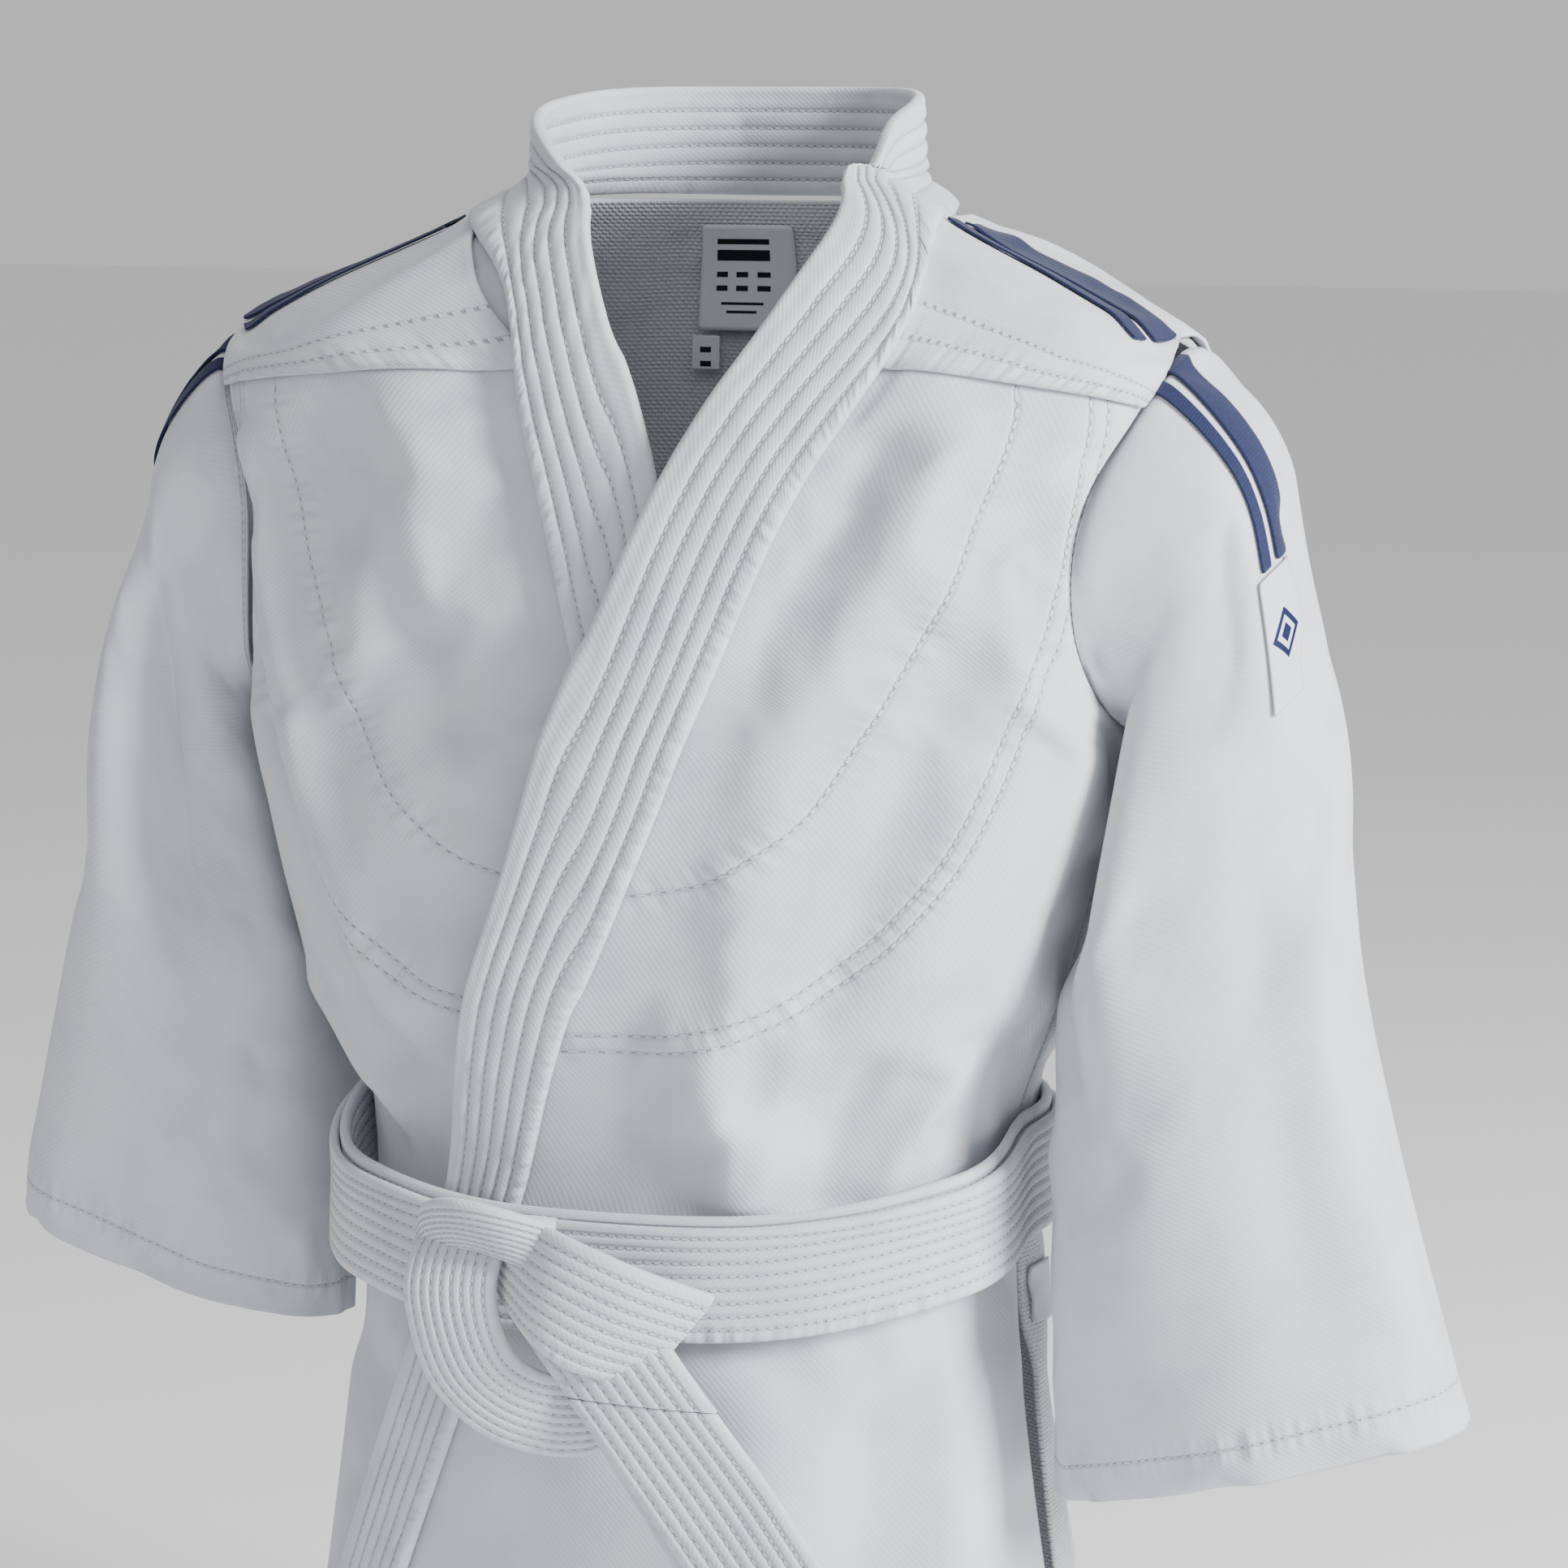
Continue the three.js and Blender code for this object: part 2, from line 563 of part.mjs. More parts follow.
const LEFT_CUT = {
  length: LEFT_SLEEVE_LENGTH,
  flare: LEFT_SLEEVE_FLARE,
  width: LEFT_SLEEVE_HEM_WIDTH,
  spread: LEFT_SLEEVE_SPREAD,
};
const RIGHT_CUT = {
  length: RIGHT_SLEEVE_LENGTH,
  flare: RIGHT_SLEEVE_FLARE,
  width: RIGHT_SLEEVE_HEM_WIDTH,
  spread: RIGHT_SLEEVE_SPREAD,
};
const SLEEVES = [
  [1, "left", LEFT_CUT],
  [-1, "right", RIGHT_CUT],
];
for (const [side, name, cut] of SLEEVES) {
  const sleeve = hoop(24, 12, (turn, v, w) => sleevePoint(turn, v ** 1.3, FABRIC * w, cut, side));
  add("sleeve_" + name, sleeve, cloth);
  const facingStart = 1 - SLEEVE_FACING / cut.length;
  const facing = hoop(24, 1, (turn, v, w) =>
    sleevePoint(turn, mix(facingStart, 0.995, v), -GAP - 1.2 * w, cut, side));
  add("sleeve_hem_facing_" + name, facing, cloth);

  // Underarm gusset: a diamond of cloth sewn inside the sleeve where it meets the body.
  const gusset = sheet(6, 4, (u, v, w) => {
    const width = 0.09 * Math.sin(Math.PI * mix(0.12, 0.88, v));
    return sleevePoint(0.5 + width * (2 * u - 1), mix(0.14, 0.3, v), -GAP - 1 - 1.2 * w, cut, side);
  });
  add("underarm_gusset_" + name, gusset, cloth);
}

// Shoulder tapes, one broad and one narrow: a length on the shoulder and a length on the sleeve.
const TAPES = [
  ["broad", BROAD_TAPE, 0],
  ["narrow", NARROW_TAPE, BROAD_TAPE / 2 + NARROW_TAPE / 2 + 4],
];
for (const [side, name, cut] of SLEEVES) {
  for (const [kind, width, offset] of TAPES) {
    const onShoulder = sheet(2, 8, (u, v, w) => {
      const z = mix(-13, SHOULDER_POINT + 7, v);
      const across = offset + width * (u - 0.5);
      const angle = 10 + (across / level(z, 2)) * 60;
      const out = frontOut(side, angle) + FABRIC + 2 + 3 * GAP;
      const p = onForm(angle, z - 0.1 * across, out + TAPE_THICKNESS * w);
      p.x *= side;
      return p;
    });
    add("shoulder_tape_" + kind + "_" + name, onShoulder, tape);
    const onSleeve = sheet(2, 6, (u, v, w) => {
      const turn = 0.06 + (offset + width * (u - 0.5)) / 330;
      const s = mix(0.05, 0.19, v);
      return sleevePoint(turn, s, FABRIC + 2 * GAP + TAPE_THICKNESS * w, cut, side);
    });
    add("sleeve_tape_" + kind + "_" + name, onSleeve, tape);
  }
}
const patch = sheet(3, 4, (u, v, w) =>
  sleevePoint(mix(0.05, 0.115, u), mix(0.22, 0.34, v), FABRIC + GAP + 0.8 * w, LEFT_CUT, 1));
add("sleeve_patch", patch, woven);

// Skirt: two lapped fronts and a back, each hung just below the belt and open at the side vents.
const SKIRT_LAYER = FABRIC + 3 * GAP;
function skirtEdge(z) {
  const f = (skirtTop(90) - z) / (skirtTop(90) + BODY_LENGTH);
  return mix(106.5, 130, f);
}

function skirtOut(side, angle) {
  return SKIRT_LAYER + frontOut(side, angle);
}

function skirtFront(side, low, high, out, inset, nu, nv) {
  return sheet(nu, nv, (u, v, w) => {
    const rough = mix(low, high(90), v);
    const angle = mix(2.5, skirtEdge(rough) + inset, 1 - u);
    const z = mix(low, high(angle), v);
    const p = onForm(angle, z, skirtOut(side, angle) + mix(out[0], out[1], w));
    p.x *= side;
    return p;
  });
}

for (const [side, name] of [[1, "left"], [-1, "right"]]) {
  add("skirt_front_" + name, skirtFront(side, -BODY_LENGTH, skirtTop, [0, FABRIC], 1, 14, 8), cloth);
  const low = -BODY_LENGTH + 1;
  const facing = skirtFront(side, low, () => low + HEM_FACING, [-GAP, -GAP - 0.5], -4, 14, 1);
  add("skirt_hem_facing_" + name, facing, cloth);
  const lower = sheet(3, 8, (u, v, w) => {
    const rough = mix(-BODY_LENGTH, skirtTop(90), v);
    const angle = skirtEdge(rough) + 14 * u;
    const z = mix(-BODY_LENGTH, skirtTop(angle) - 3, v);
    const p = onForm(angle, z, skirtOut(side, angle) + FABRIC + GAP + (LAPEL_THICKNESS - 2) * w);
    p.x *= side;
    return p;
  });
  add("skirt_lapel_" + name, lower, cloth);
}
const skirtBack = sheet(16, 8, (u, v, w) => {
  const angle = mix(182.5, 357.5, u);
  return onForm(angle, mix(-BODY_LENGTH, skirtTop(angle), v), SKIRT_LAYER + FABRIC * w);
});
add("skirt_back", skirtBack, cloth);
const backFacing = sheet(16, 1, (u, v, w) => {
  const z = mix(-BODY_LENGTH + 1, -BODY_LENGTH + 1 + HEM_FACING, v);
  return onForm(mix(184, 356, u), z, SKIRT_LAYER - GAP - 0.9 * w);
});
add("skirt_hem_facing_back", backFacing, cloth);

// Vent tabs: small squares sewn over the top corners of the back skirt, at both side vents.
for (const [side, name] of [[1, "left"], [-1, "right"]]) {
  const tab = sheet(2, 2, (u, v, w) => {
    const angle = mix(348, 357, u);
    const p = onForm(angle, skirtTop(angle) - 22 + 20 * v, SKIRT_LAYER + FABRIC + 2 * GAP + w);
    p.x *= side;
    return p;
  });
  add("vent_tab_" + name, tab, cloth);
}

export default group;
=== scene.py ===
import math

import bmesh
import bpy
import numpy as np
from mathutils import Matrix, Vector


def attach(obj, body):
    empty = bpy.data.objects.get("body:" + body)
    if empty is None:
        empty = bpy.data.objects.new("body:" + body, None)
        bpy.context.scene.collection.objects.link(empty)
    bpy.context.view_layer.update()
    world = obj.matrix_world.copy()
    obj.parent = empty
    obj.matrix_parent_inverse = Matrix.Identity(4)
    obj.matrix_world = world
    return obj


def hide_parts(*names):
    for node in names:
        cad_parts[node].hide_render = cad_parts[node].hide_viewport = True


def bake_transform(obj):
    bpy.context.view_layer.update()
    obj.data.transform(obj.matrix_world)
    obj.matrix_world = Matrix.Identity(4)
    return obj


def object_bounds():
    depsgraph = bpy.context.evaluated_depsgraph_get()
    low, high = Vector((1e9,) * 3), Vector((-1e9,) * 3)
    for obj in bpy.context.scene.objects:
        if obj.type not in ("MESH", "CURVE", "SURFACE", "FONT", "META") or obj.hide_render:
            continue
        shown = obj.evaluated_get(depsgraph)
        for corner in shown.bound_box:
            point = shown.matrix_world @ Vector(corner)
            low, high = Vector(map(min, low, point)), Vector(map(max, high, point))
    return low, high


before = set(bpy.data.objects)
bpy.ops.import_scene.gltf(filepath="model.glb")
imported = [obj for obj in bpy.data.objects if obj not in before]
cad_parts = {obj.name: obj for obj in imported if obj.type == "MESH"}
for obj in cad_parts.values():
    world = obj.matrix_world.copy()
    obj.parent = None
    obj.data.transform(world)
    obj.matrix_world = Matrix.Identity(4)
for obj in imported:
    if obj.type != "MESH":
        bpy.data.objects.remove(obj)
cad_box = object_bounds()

MM = 0.001

# ---- Camera, floor and light -------------------------------------------------------------------
# The jacket hangs in the air as its wearer would hold it, above a pale studio floor. A broad soft
# light from the wearer's left front leaves the right sleeve in shade.
CAMERA_AZIMUTH = math.radians(23)
CAMERA_ELEVATION = math.radians(6)
CAMERA_DISTANCE = 1.7
FRAME_WIDTH = 0.5367
VIEW_POINT = Vector((0, 0, -0.125))
VIEW_SHIFT = (0.028, -0.0694)
SENSOR = 36


def look_at(obj, place, target):
    obj.location = place
    obj.rotation_euler = (target - place).to_track_quat("-Z", "Y").to_euler()


right = Vector((math.cos(CAMERA_AZIMUTH), math.sin(CAMERA_AZIMUTH), 0))
backward = Vector((math.sin(CAMERA_AZIMUTH) * math.cos(CAMERA_ELEVATION),
                   -math.cos(CAMERA_AZIMUTH) * math.cos(CAMERA_ELEVATION), math.sin(CAMERA_ELEVATION)))
upward = backward.cross(right)
camera = bpy.data.objects.new("camera", bpy.data.cameras.new("camera"))
bpy.context.scene.collection.objects.link(camera)
look_at(camera, VIEW_POINT + backward * CAMERA_DISTANCE,
        VIEW_POINT + right * VIEW_SHIFT[0] + upward * VIEW_SHIFT[1])
camera.data.sensor_width = SENSOR
camera.data.lens = SENSOR * CAMERA_DISTANCE / FRAME_WIDTH
bpy.context.scene.camera = camera

WORLD_STRENGTH = 0.6
LIGHTS = [
    ("key_light", (1.9, -0.5, 0.5), 0.6, 100),
    ("front_light", (0.9, -2.2, 0.9), 1.2, 7),
    ("top_light", (0.6, 0.3, 1.8), 1.0, 12),
]
for name, place, size, power in LIGHTS:
    lamp = bpy.data.objects.new(name, bpy.data.lights.new(name, "AREA"))
    lamp.data.size = size
    lamp.data.energy = power
    look_at(lamp, Vector(place), Vector((0, 0, -0.25)))
    bpy.context.scene.collection.objects.link(lamp)

world = bpy.data.worlds.new("studio")
world.use_nodes = True
world.node_tree.nodes["Background"].inputs["Color"].default_value = (1, 1, 1, 1)
world.node_tree.nodes["Background"].inputs["Strength"].default_value = WORLD_STRENGTH
bpy.context.scene.world = world


def linear(hex_colour):
    """An sRGB hex colour as the linear colour that a shader socket takes."""
    parts = [int(hex_colour[i:i + 2], 16) / 255 for i in (1, 3, 5)]
    return tuple(c / 12.92 if c <= 0.04045 else ((c + 0.055) / 1.055) ** 2.4 for c in parts) + (1,)


def add_node(tree, kind, settings=(), inputs=(), links=()):
    """A shader node with its settings, its input values and its links."""
    made = tree.nodes.new(kind)
    for key, value in dict(settings).items():
        setattr(made, key, value)
    for key, value in dict(inputs).items():
        made.inputs[key].default_value = value
    for key, socket in dict(links).items():
        tree.links.new(socket, made.inputs[key])
    return made


def new_material(name, colour, roughness, sheen=0.0):
    material = bpy.data.materials.new(name)
    material.use_nodes = True
    shader = material.node_tree.nodes["Principled BSDF"]
    shader.inputs["Base Color"].default_value = linear(colour)
    shader.inputs["Roughness"].default_value = roughness
    shader.inputs["Specular IOR Level"].default_value = 0.25
    shader.inputs["Sheen Weight"].default_value = sheen
    shader.inputs["Sheen Roughness"].default_value = 0.6
    return material, material.node_tree, shader


def new_object(name, bm, *materials):
    mesh = bpy.data.meshes.new(name)
    bm.to_mesh(mesh)
    bm.free()
    obj = bpy.data.objects.new(name, mesh)
    bpy.context.scene.collection.objects.link(obj)
    for material in materials:
        mesh.materials.append(material)
    for face in mesh.polygons:
        face.use_smooth = True
    return obj


# The floor is a plain matt board, as pale as the walls of the studio.
FLOOR_SIZE = 12
floor_paint, _, _ = new_material("white matt floor paint", "#f6f6f7", 0.9)
bm = bmesh.new()
bmesh.ops.create_grid(bm, x_segments=2, y_segments=2, size=FLOOR_SIZE)
bmesh.ops.translate(bm, verts=bm.verts, vec=(0, 0, cad_box[0][2] - 0.03))
new_object("floor", bm, floor_paint)

# ---- The worn shape -----------------------------------------------------------------------------
# The jacket takes its shape from the body that wears it. Each level of that body is a rounded
# rectangle, and every piece of cloth lies on it at an angle round the body, a level and a distance out.
NECK_HALF_WIDTH = 61 * MM
NECK_HALF_DEPTH = 51 * MM
NECK_SET_BACK = 25 * MM
SHOULDER_HALF_WIDTH = 176 * MM
SHOULDER_DROP = 60 * MM
CHEST_HALF_DEPTH = 91 * MM
WAIST_HALF_WIDTH = 113 * MM
WAIST_HALF_DEPTH = 81 * MM
HEM_HALF_WIDTH = 146 * MM
HEM_HALF_DEPTH = 106 * MM
BODY_LENGTH = 560 * MM
WAIST_DROP = 322 * MM
FRONT_DIP = 24 * MM
BELT_WIDTH = 40 * MM
COLLAR_STAND = 42 * MM
ROUNDNESS = 2.4
SHOULDER = SHOULDER_HALF_WIDTH - NECK_HALF_WIDTH

FORM = np.array([
    [COLLAR_STAND + 8 * MM, NECK_HALF_WIDTH - 3 * MM, NECK_HALF_DEPTH - 2 * MM, NECK_SET_BACK],
    [4 * MM, NECK_HALF_WIDTH, NECK_HALF_DEPTH, NECK_SET_BACK - 1 * MM],
    [-0.12 * SHOULDER_DROP, NECK_HALF_WIDTH + 0.27 * SHOULDER, NECK_HALF_DEPTH + 9 * MM, 20 * MM],
    [-0.32 * SHOULDER_DROP, NECK_HALF_WIDTH + 0.55 * SHOULDER, NECK_HALF_DEPTH + 15 * MM, 17 * MM],
    [-0.5 * SHOULDER_DROP, NECK_HALF_WIDTH + 0.77 * SHOULDER, NECK_HALF_DEPTH + 19 * MM, 14 * MM],
    [-0.72 * SHOULDER_DROP, NECK_HALF_WIDTH + 0.95 * SHOULDER, NECK_HALF_DEPTH + 22 * MM, 10 * MM],
    [-SHOULDER_DROP, SHOULDER_HALF_WIDTH, CHEST_HALF_DEPTH - 15 * MM, 7 * MM],
    [-2 * SHOULDER_DROP, SHOULDER_HALF_WIDTH - 8 * MM, CHEST_HALF_DEPTH - 6 * MM, 2 * MM],
    [-0.55 * WAIST_DROP, SHOULDER_HALF_WIDTH - 22 * MM, CHEST_HALF_DEPTH, -2 * MM],
    [-0.8 * WAIST_DROP, WAIST_HALF_WIDTH + 18 * MM, CHEST_HALF_DEPTH - 2 * MM, -3 * MM],
    [-WAIST_DROP + 0.6 * BELT_WIDTH, WAIST_HALF_WIDTH + 2 * MM, WAIST_HALF_DEPTH + 3 * MM, -1 * MM],
    [-WAIST_DROP, WAIST_HALF_WIDTH, WAIST_HALF_DEPTH, 0],
    [-WAIST_DROP - FRONT_DIP - 0.6 * BELT_WIDTH, WAIST_HALF_WIDTH + 2 * MM, WAIST_HALF_DEPTH + 2 * MM, 0],
    [-BODY_LENGTH, HEM_HALF_WIDTH, HEM_HALF_DEPTH, 0],
])[::-1]


def level(z, column):
    soften = 6 * MM
    return sum(np.interp(z + k * soften, FORM[:, 0], FORM[:, column]) for k in (-1, 0, 1)) / 3


def form_point(angle, z):
    """A point of the worn shape: 0 is the wearer's left side, 90 the front and 180 the right side."""
    t = np.radians(angle)
    x = level(z, 1) * np.sign(np.cos(t)) * np.abs(np.cos(t)) ** (2 / ROUNDNESS)
    y = level(z, 3) - level(z, 2) * np.sign(np.sin(t)) * np.abs(np.sin(t)) ** (2 / ROUNDNESS)
    return np.stack(np.broadcast_arrays(x, y, z), -1)


def unit(v):
    return v / np.maximum(np.linalg.norm(v, axis=-1, keepdims=True), 1e-12)


def on_form(angle, z, out):
    around = form_point(angle + 1, z) - form_point(angle - 1, z)
    down = form_point(angle, z - 5 * MM) - form_point(angle, z + 5 * MM)
    return form_point(angle, z) + unit(np.cross(around, down)) * np.asarray(out)[..., None]


def rise(x, a, b):
    f = np.clip((x - a) / (b - a), 0, 1)
    return f * f * (3 - 2 * f)


def mix(a, b, f):
    return a + (b - a) * f


def bump(x, middle, width):
    return np.exp(-((x - middle) / width) ** 2)


def belt_level(angle):
    return -WAIST_DROP - FRONT_DIP * np.maximum(0, np.sin(np.radians(angle))) ** 1.5


FABRIC = 1.6 * MM
LAPEL_THICKNESS = 4.6 * MM
LAPEL_STACK = 8.6 * MM


def front_out(side, angle):
    """How far the left front stands off the body to clear the right front, which it laps."""
    return LAPEL_STACK * rise(angle, 8, 36) if side > 0 else 0 * angle


# ---- Cloth ---------------------------------------------------------------------------------------
# The jacket is bleached cotton, preshrunk and fairly stiff, so it makes broad soft folds. Each panel is
# cut as a grid with its thread directions in its UV map, drapes in a short cloth simulation, and keeps
# its place along its seams.
CLOTH_GROWTH = 0.045
DRAPE_FRAMES = 26
FOLD_LIMIT = 9 * MM


def grid_order(across, down):
    """Row and column of each vertex of a fresh grid."""
    bm = bmesh.new()
    bmesh.ops.create_grid(bm, x_segments=across, y_segments=down, size=0.5)
    order = [(round((v.co.y + 0.5) * down), round((v.co.x + 0.5) * across)) for v in bm.verts]
    return bm, order


def grid_mesh(points, uvs):
    """A bmesh grid whose points and UV maps come from arrays with a row for each line across."""
    bm, order = grid_order(points.shape[1] - 1, points.shape[0] - 1)
    layers = {name: bm.loops.layers.uv.new(name) for name in uvs}
    bm.verts.ensure_lookup_table()
    for v, (i, j) in zip(bm.verts, order):
        v.co = points[i, j]
    for face in bm.faces:
        for loop in face.loops:
            i, j = order[loop.vert.index]
            for name, layer in layers.items():
                loop[layer].uv = uvs[name][i, j]
    return bm


def grid_parameters(across, down):
    return np.meshgrid(np.linspace(0, 1, across + 1), np.linspace(0, 1, down + 1))


def cloth_uv(points):
    """Metres along the threads: across from the middle column, and down from the first row."""
    right_step = np.linalg.norm(np.diff(points, axis=1), axis=-1)
    down_step = np.linalg.norm(np.diff(points, axis=0), axis=-1)
    u = np.pad(np.cumsum(right_step, 1), ((0, 0), (1, 0)))
    v = np.pad(np.cumsum(down_step, 0), ((1, 0), (0, 0)))
    middle = points.shape[1] // 2
    return np.stack([u - u[:, middle:middle + 1], np.repeat(v[:, middle:middle + 1], points.shape[1], 1)], -1)


def grid_normals(points, side=1):
    around = np.gradient(points, axis=1)
    down = np.gradient(points, axis=0)
    return unit(np.cross(around, down)) * side


def drape(points, pinned, growth, sag, stiffness, side=1):
    """The grid after its cloth has grown a little against its pinned seams and sagged into folds."""
    plain, order = grid_order(points.shape[1] - 1, points.shape[0] - 1)
    plain.free()
    rows, columns = np.array(order).T
    obj = new_object("draping", grid_mesh(points, {}))
    group = obj.vertex_groups.new(name="pinned")
    for number, (i, j) in enumerate(order):
        group.add([number], float(pinned[i, j]), "REPLACE")
    cloth = obj.modifiers.new("Cloth", "CLOTH")
    settings = cloth.settings
    settings.quality = 6
    settings.mass = 0.25
    settings.tension_stiffness = 40
    settings.compression_stiffness = 40
    settings.shear_stiffness = 12
    settings.bending_stiffness = stiffness
    settings.air_damping = 3
    settings.vertex_group_mass = "pinned"
    settings.pin_stiffness = 1
    settings.shrink_min = -growth
    settings.effector_weights.gravity = sag
    cloth.collision_settings.use_collision = False
    cloth.point_cache.frame_start = 1
    cloth.point_cache.frame_end = DRAPE_FRAMES
    scene = bpy.context.scene
    for number in range(1, DRAPE_FRAMES + 1):
        scene.frame_set(number)
    shape = obj.evaluated_get(bpy.context.evaluated_depsgraph_get()).to_mesh()
    moved = np.empty_like(points)
    moved[rows, columns] = np.array([v.co for v in shape.vertices])
    bpy.data.objects.remove(obj)
    scene.frame_set(1)
    normal = grid_normals(points, side)
    shift = moved - points
    outward = (shift * normal).sum(-1, keepdims=True)
    along = np.clip(shift - normal * outward, -FOLD_LIMIT, FOLD_LIMIT)
    limited = FOLD_LIMIT * np.tanh(outward / FOLD_LIMIT)
    limited = np.where(limited < 0, 0.25 * limited, limited)
    return points + normal * limited + along * 0.5


def sample(points, u, v):
    """Points of a grid between its own, at shares u across and v down."""
    rows, columns = points.shape[0] - 1, points.shape[1] - 1
    x, y = np.clip(u, 0, 1) * columns, np.clip(v, 0, 1) * rows
    j, i = np.minimum(x.astype(int), columns - 1), np.minimum(y.astype(int), rows - 1)
    fx, fy = (x - j)[..., None], (y - i)[..., None]
    top = mix(points[i, j], points[i, j + 1], fx)
    return mix(top, mix(points[i + 1, j], points[i + 1, j + 1], fx), fy)


def finish_cloth(obj, thickness, levels=1):
    """Gives a sheet its thickness, inwards from its face, and smooths it."""
    if levels:
        smooth = obj.modifiers.new("Subdivision", "SUBSURF")
        smooth.levels = smooth.render_levels = levels
    solid = obj.modifiers.new("Solidify", "SOLIDIFY")
    solid.thickness = thickness
    solid.offset = -1
    solid.use_even_offset = False
    bpy.context.view_layer.update()
    shape = bpy.data.meshes.new_from_object(obj.evaluated_get(bpy.context.evaluated_depsgraph_get()))
    obj.modifiers.clear()
    obj.data = shape
    for face in shape.polygons:
        face.use_smooth = True
    return obj


def outward_faces(obj, inside=Vector((0, 0, -0.2))):
    """Turns a sheet's faces so that they look away from the body."""
    total = sum((face.center - inside).to_2d().dot(face.normal.to_2d()) * face.area
                for face in obj.data.polygons)
    if total < 0:
        obj.data.flip_normals()
    return obj


def sheet_piece(name, points, maps, material, thickness, levels=2, closed=False):
    bm = grid_mesh(points, maps)
    if closed:
        bmesh.ops.remove_doubles(bm, verts=bm.verts, dist=1e-5)
    return finish_cloth(outward_faces(new_object(name, bm, material)), thickness, levels)


# Bleached cotton twill: a matt white cloth with a slight blue cast. Its threads are about 0.4 mm apart;
# the twill line is drawn at 1.1 mm, which is as fine as shows.
TWILL_PITCH = 1.1 * MM
STITCH_LENGTH = 3.2 * MM
THREAD_WIDTH = 0.55 * MM


def thread_coordinates(tree, layer="UVMap"):
    uv = add_node(tree, "ShaderNodeUVMap", {"uv_map": layer})
    return add_node(tree, "ShaderNodeSeparateXYZ", links={0: uv.outputs["UV"]}), uv.outputs["UV"]


def maths(tree, operation, a, b=None, c=None):
    """One step of arithmetic on sockets or plain numbers."""
    made = add_node(tree, "ShaderNodeMath", {"operation": operation})
    for i, value in enumerate((a, b, c)):
        if value is None:
            continue
        if isinstance(value, (int, float)):
            made.inputs[i].default_value = value
        else:
            tree.links.new(value, made.inputs[i])
    return made.outputs[0]


def soft_step(tree, value, low, high):
    made = add_node(tree, "ShaderNodeMapRange", {"interpolation_type": "SMOOTHSTEP"},
                    {"From Min": low, "From Max": high})
    tree.links.new(value, made.inputs["Value"])
    return made.outputs["Result"]


def stitch_line(tree, across, along, place):
    """A row of stitches at a place across: how much a point is thread, how much it is sewn groove, and how
    much it is a needle hole that gets painted shade.
    """
    off = maths(tree, "ABSOLUTE", maths(tree, "SUBTRACT", across, place))
    groove = soft_step(tree, off, 1.6 * MM, 0.0)
    share = maths(tree, "FRACT", maths(tree, "DIVIDE", along, STITCH_LENGTH))
    dash = soft_step(tree, maths(tree, "ABSOLUTE", maths(tree, "SUBTRACT", share, 0.5)), 0.36, 0.28)
    thread = maths(tree, "MULTIPLY", soft_step(tree, off, THREAD_WIDTH, 0.4 * THREAD_WIDTH), dash)
    painted_hole_mask = maths(tree, "MULTIPLY", soft_step(tree, off, THREAD_WIDTH, 0.2 * THREAD_WIDTH),
                 maths(tree, "SUBTRACT", 1.0, dash))
    return thread, groove, painted_hole_mask


def weave_height(tree, vector, pitch, grain):
    """The height of a twill: slanting lines crossed by finer ones, broken up by slub."""
    lines = add_node(tree, "ShaderNodeTexWave", {"wave_type": "BANDS", "bands_direction": "DIAGONAL"},
                     {"Scale": 0.32 / pitch, "Distortion": 0.6, "Detail": 1.0, "Detail Scale": 2.0},
                     {"Vector": vector})
    slub = add_node(tree, "ShaderNodeTexNoise", {}, {"Scale": grain, "Detail": 4.0, "Roughness": 0.65},
                    {"Vector": vector})
    return maths(tree, "MULTIPLY_ADD", slub.outputs["Fac"], 1.2, lines.outputs["Fac"]), slub.outputs["Fac"]


def finish_cotton(tree, shader, height, distance, colours, strength=1.0):
    """Links the height as bump and the colour layers, each (share, colour), over the base colour."""
    shift = add_node(tree, "ShaderNodeBump", {}, {"Strength": strength, "Distance": distance},
                     {"Height": height})
    tree.links.new(shift.outputs["Normal"], shader.inputs["Normal"])
    base = shader.inputs["Base Color"].default_value[:]
    last = None
    for share, colour in colours:
        made = add_node(tree, "ShaderNodeMix", {"data_type": "RGBA"})
        made.inputs["A"].default_value = base
        made.inputs["B"].default_value = linear(colour)
        tree.links.new(share, made.inputs["Factor"])
        if last is not None:
            tree.links.new(last, made.inputs["A"])
        last = made.outputs["Result"]
    if last is not None:
        tree.links.new(last, shader.inputs["Base Color"])


COTTON_WHITE = "#c6c9d0"
# A greyer white: random blotches of tone in the twill, and painted shade in the gaps between the rice grains.
COTTON_TONE_AND_PAINTED_SHADE = "#b6bac3"
# Painted shade: the needle holes between stitches are coloured this dark grey.
PAINTED_HOLE_SHADE = "#6d717a"


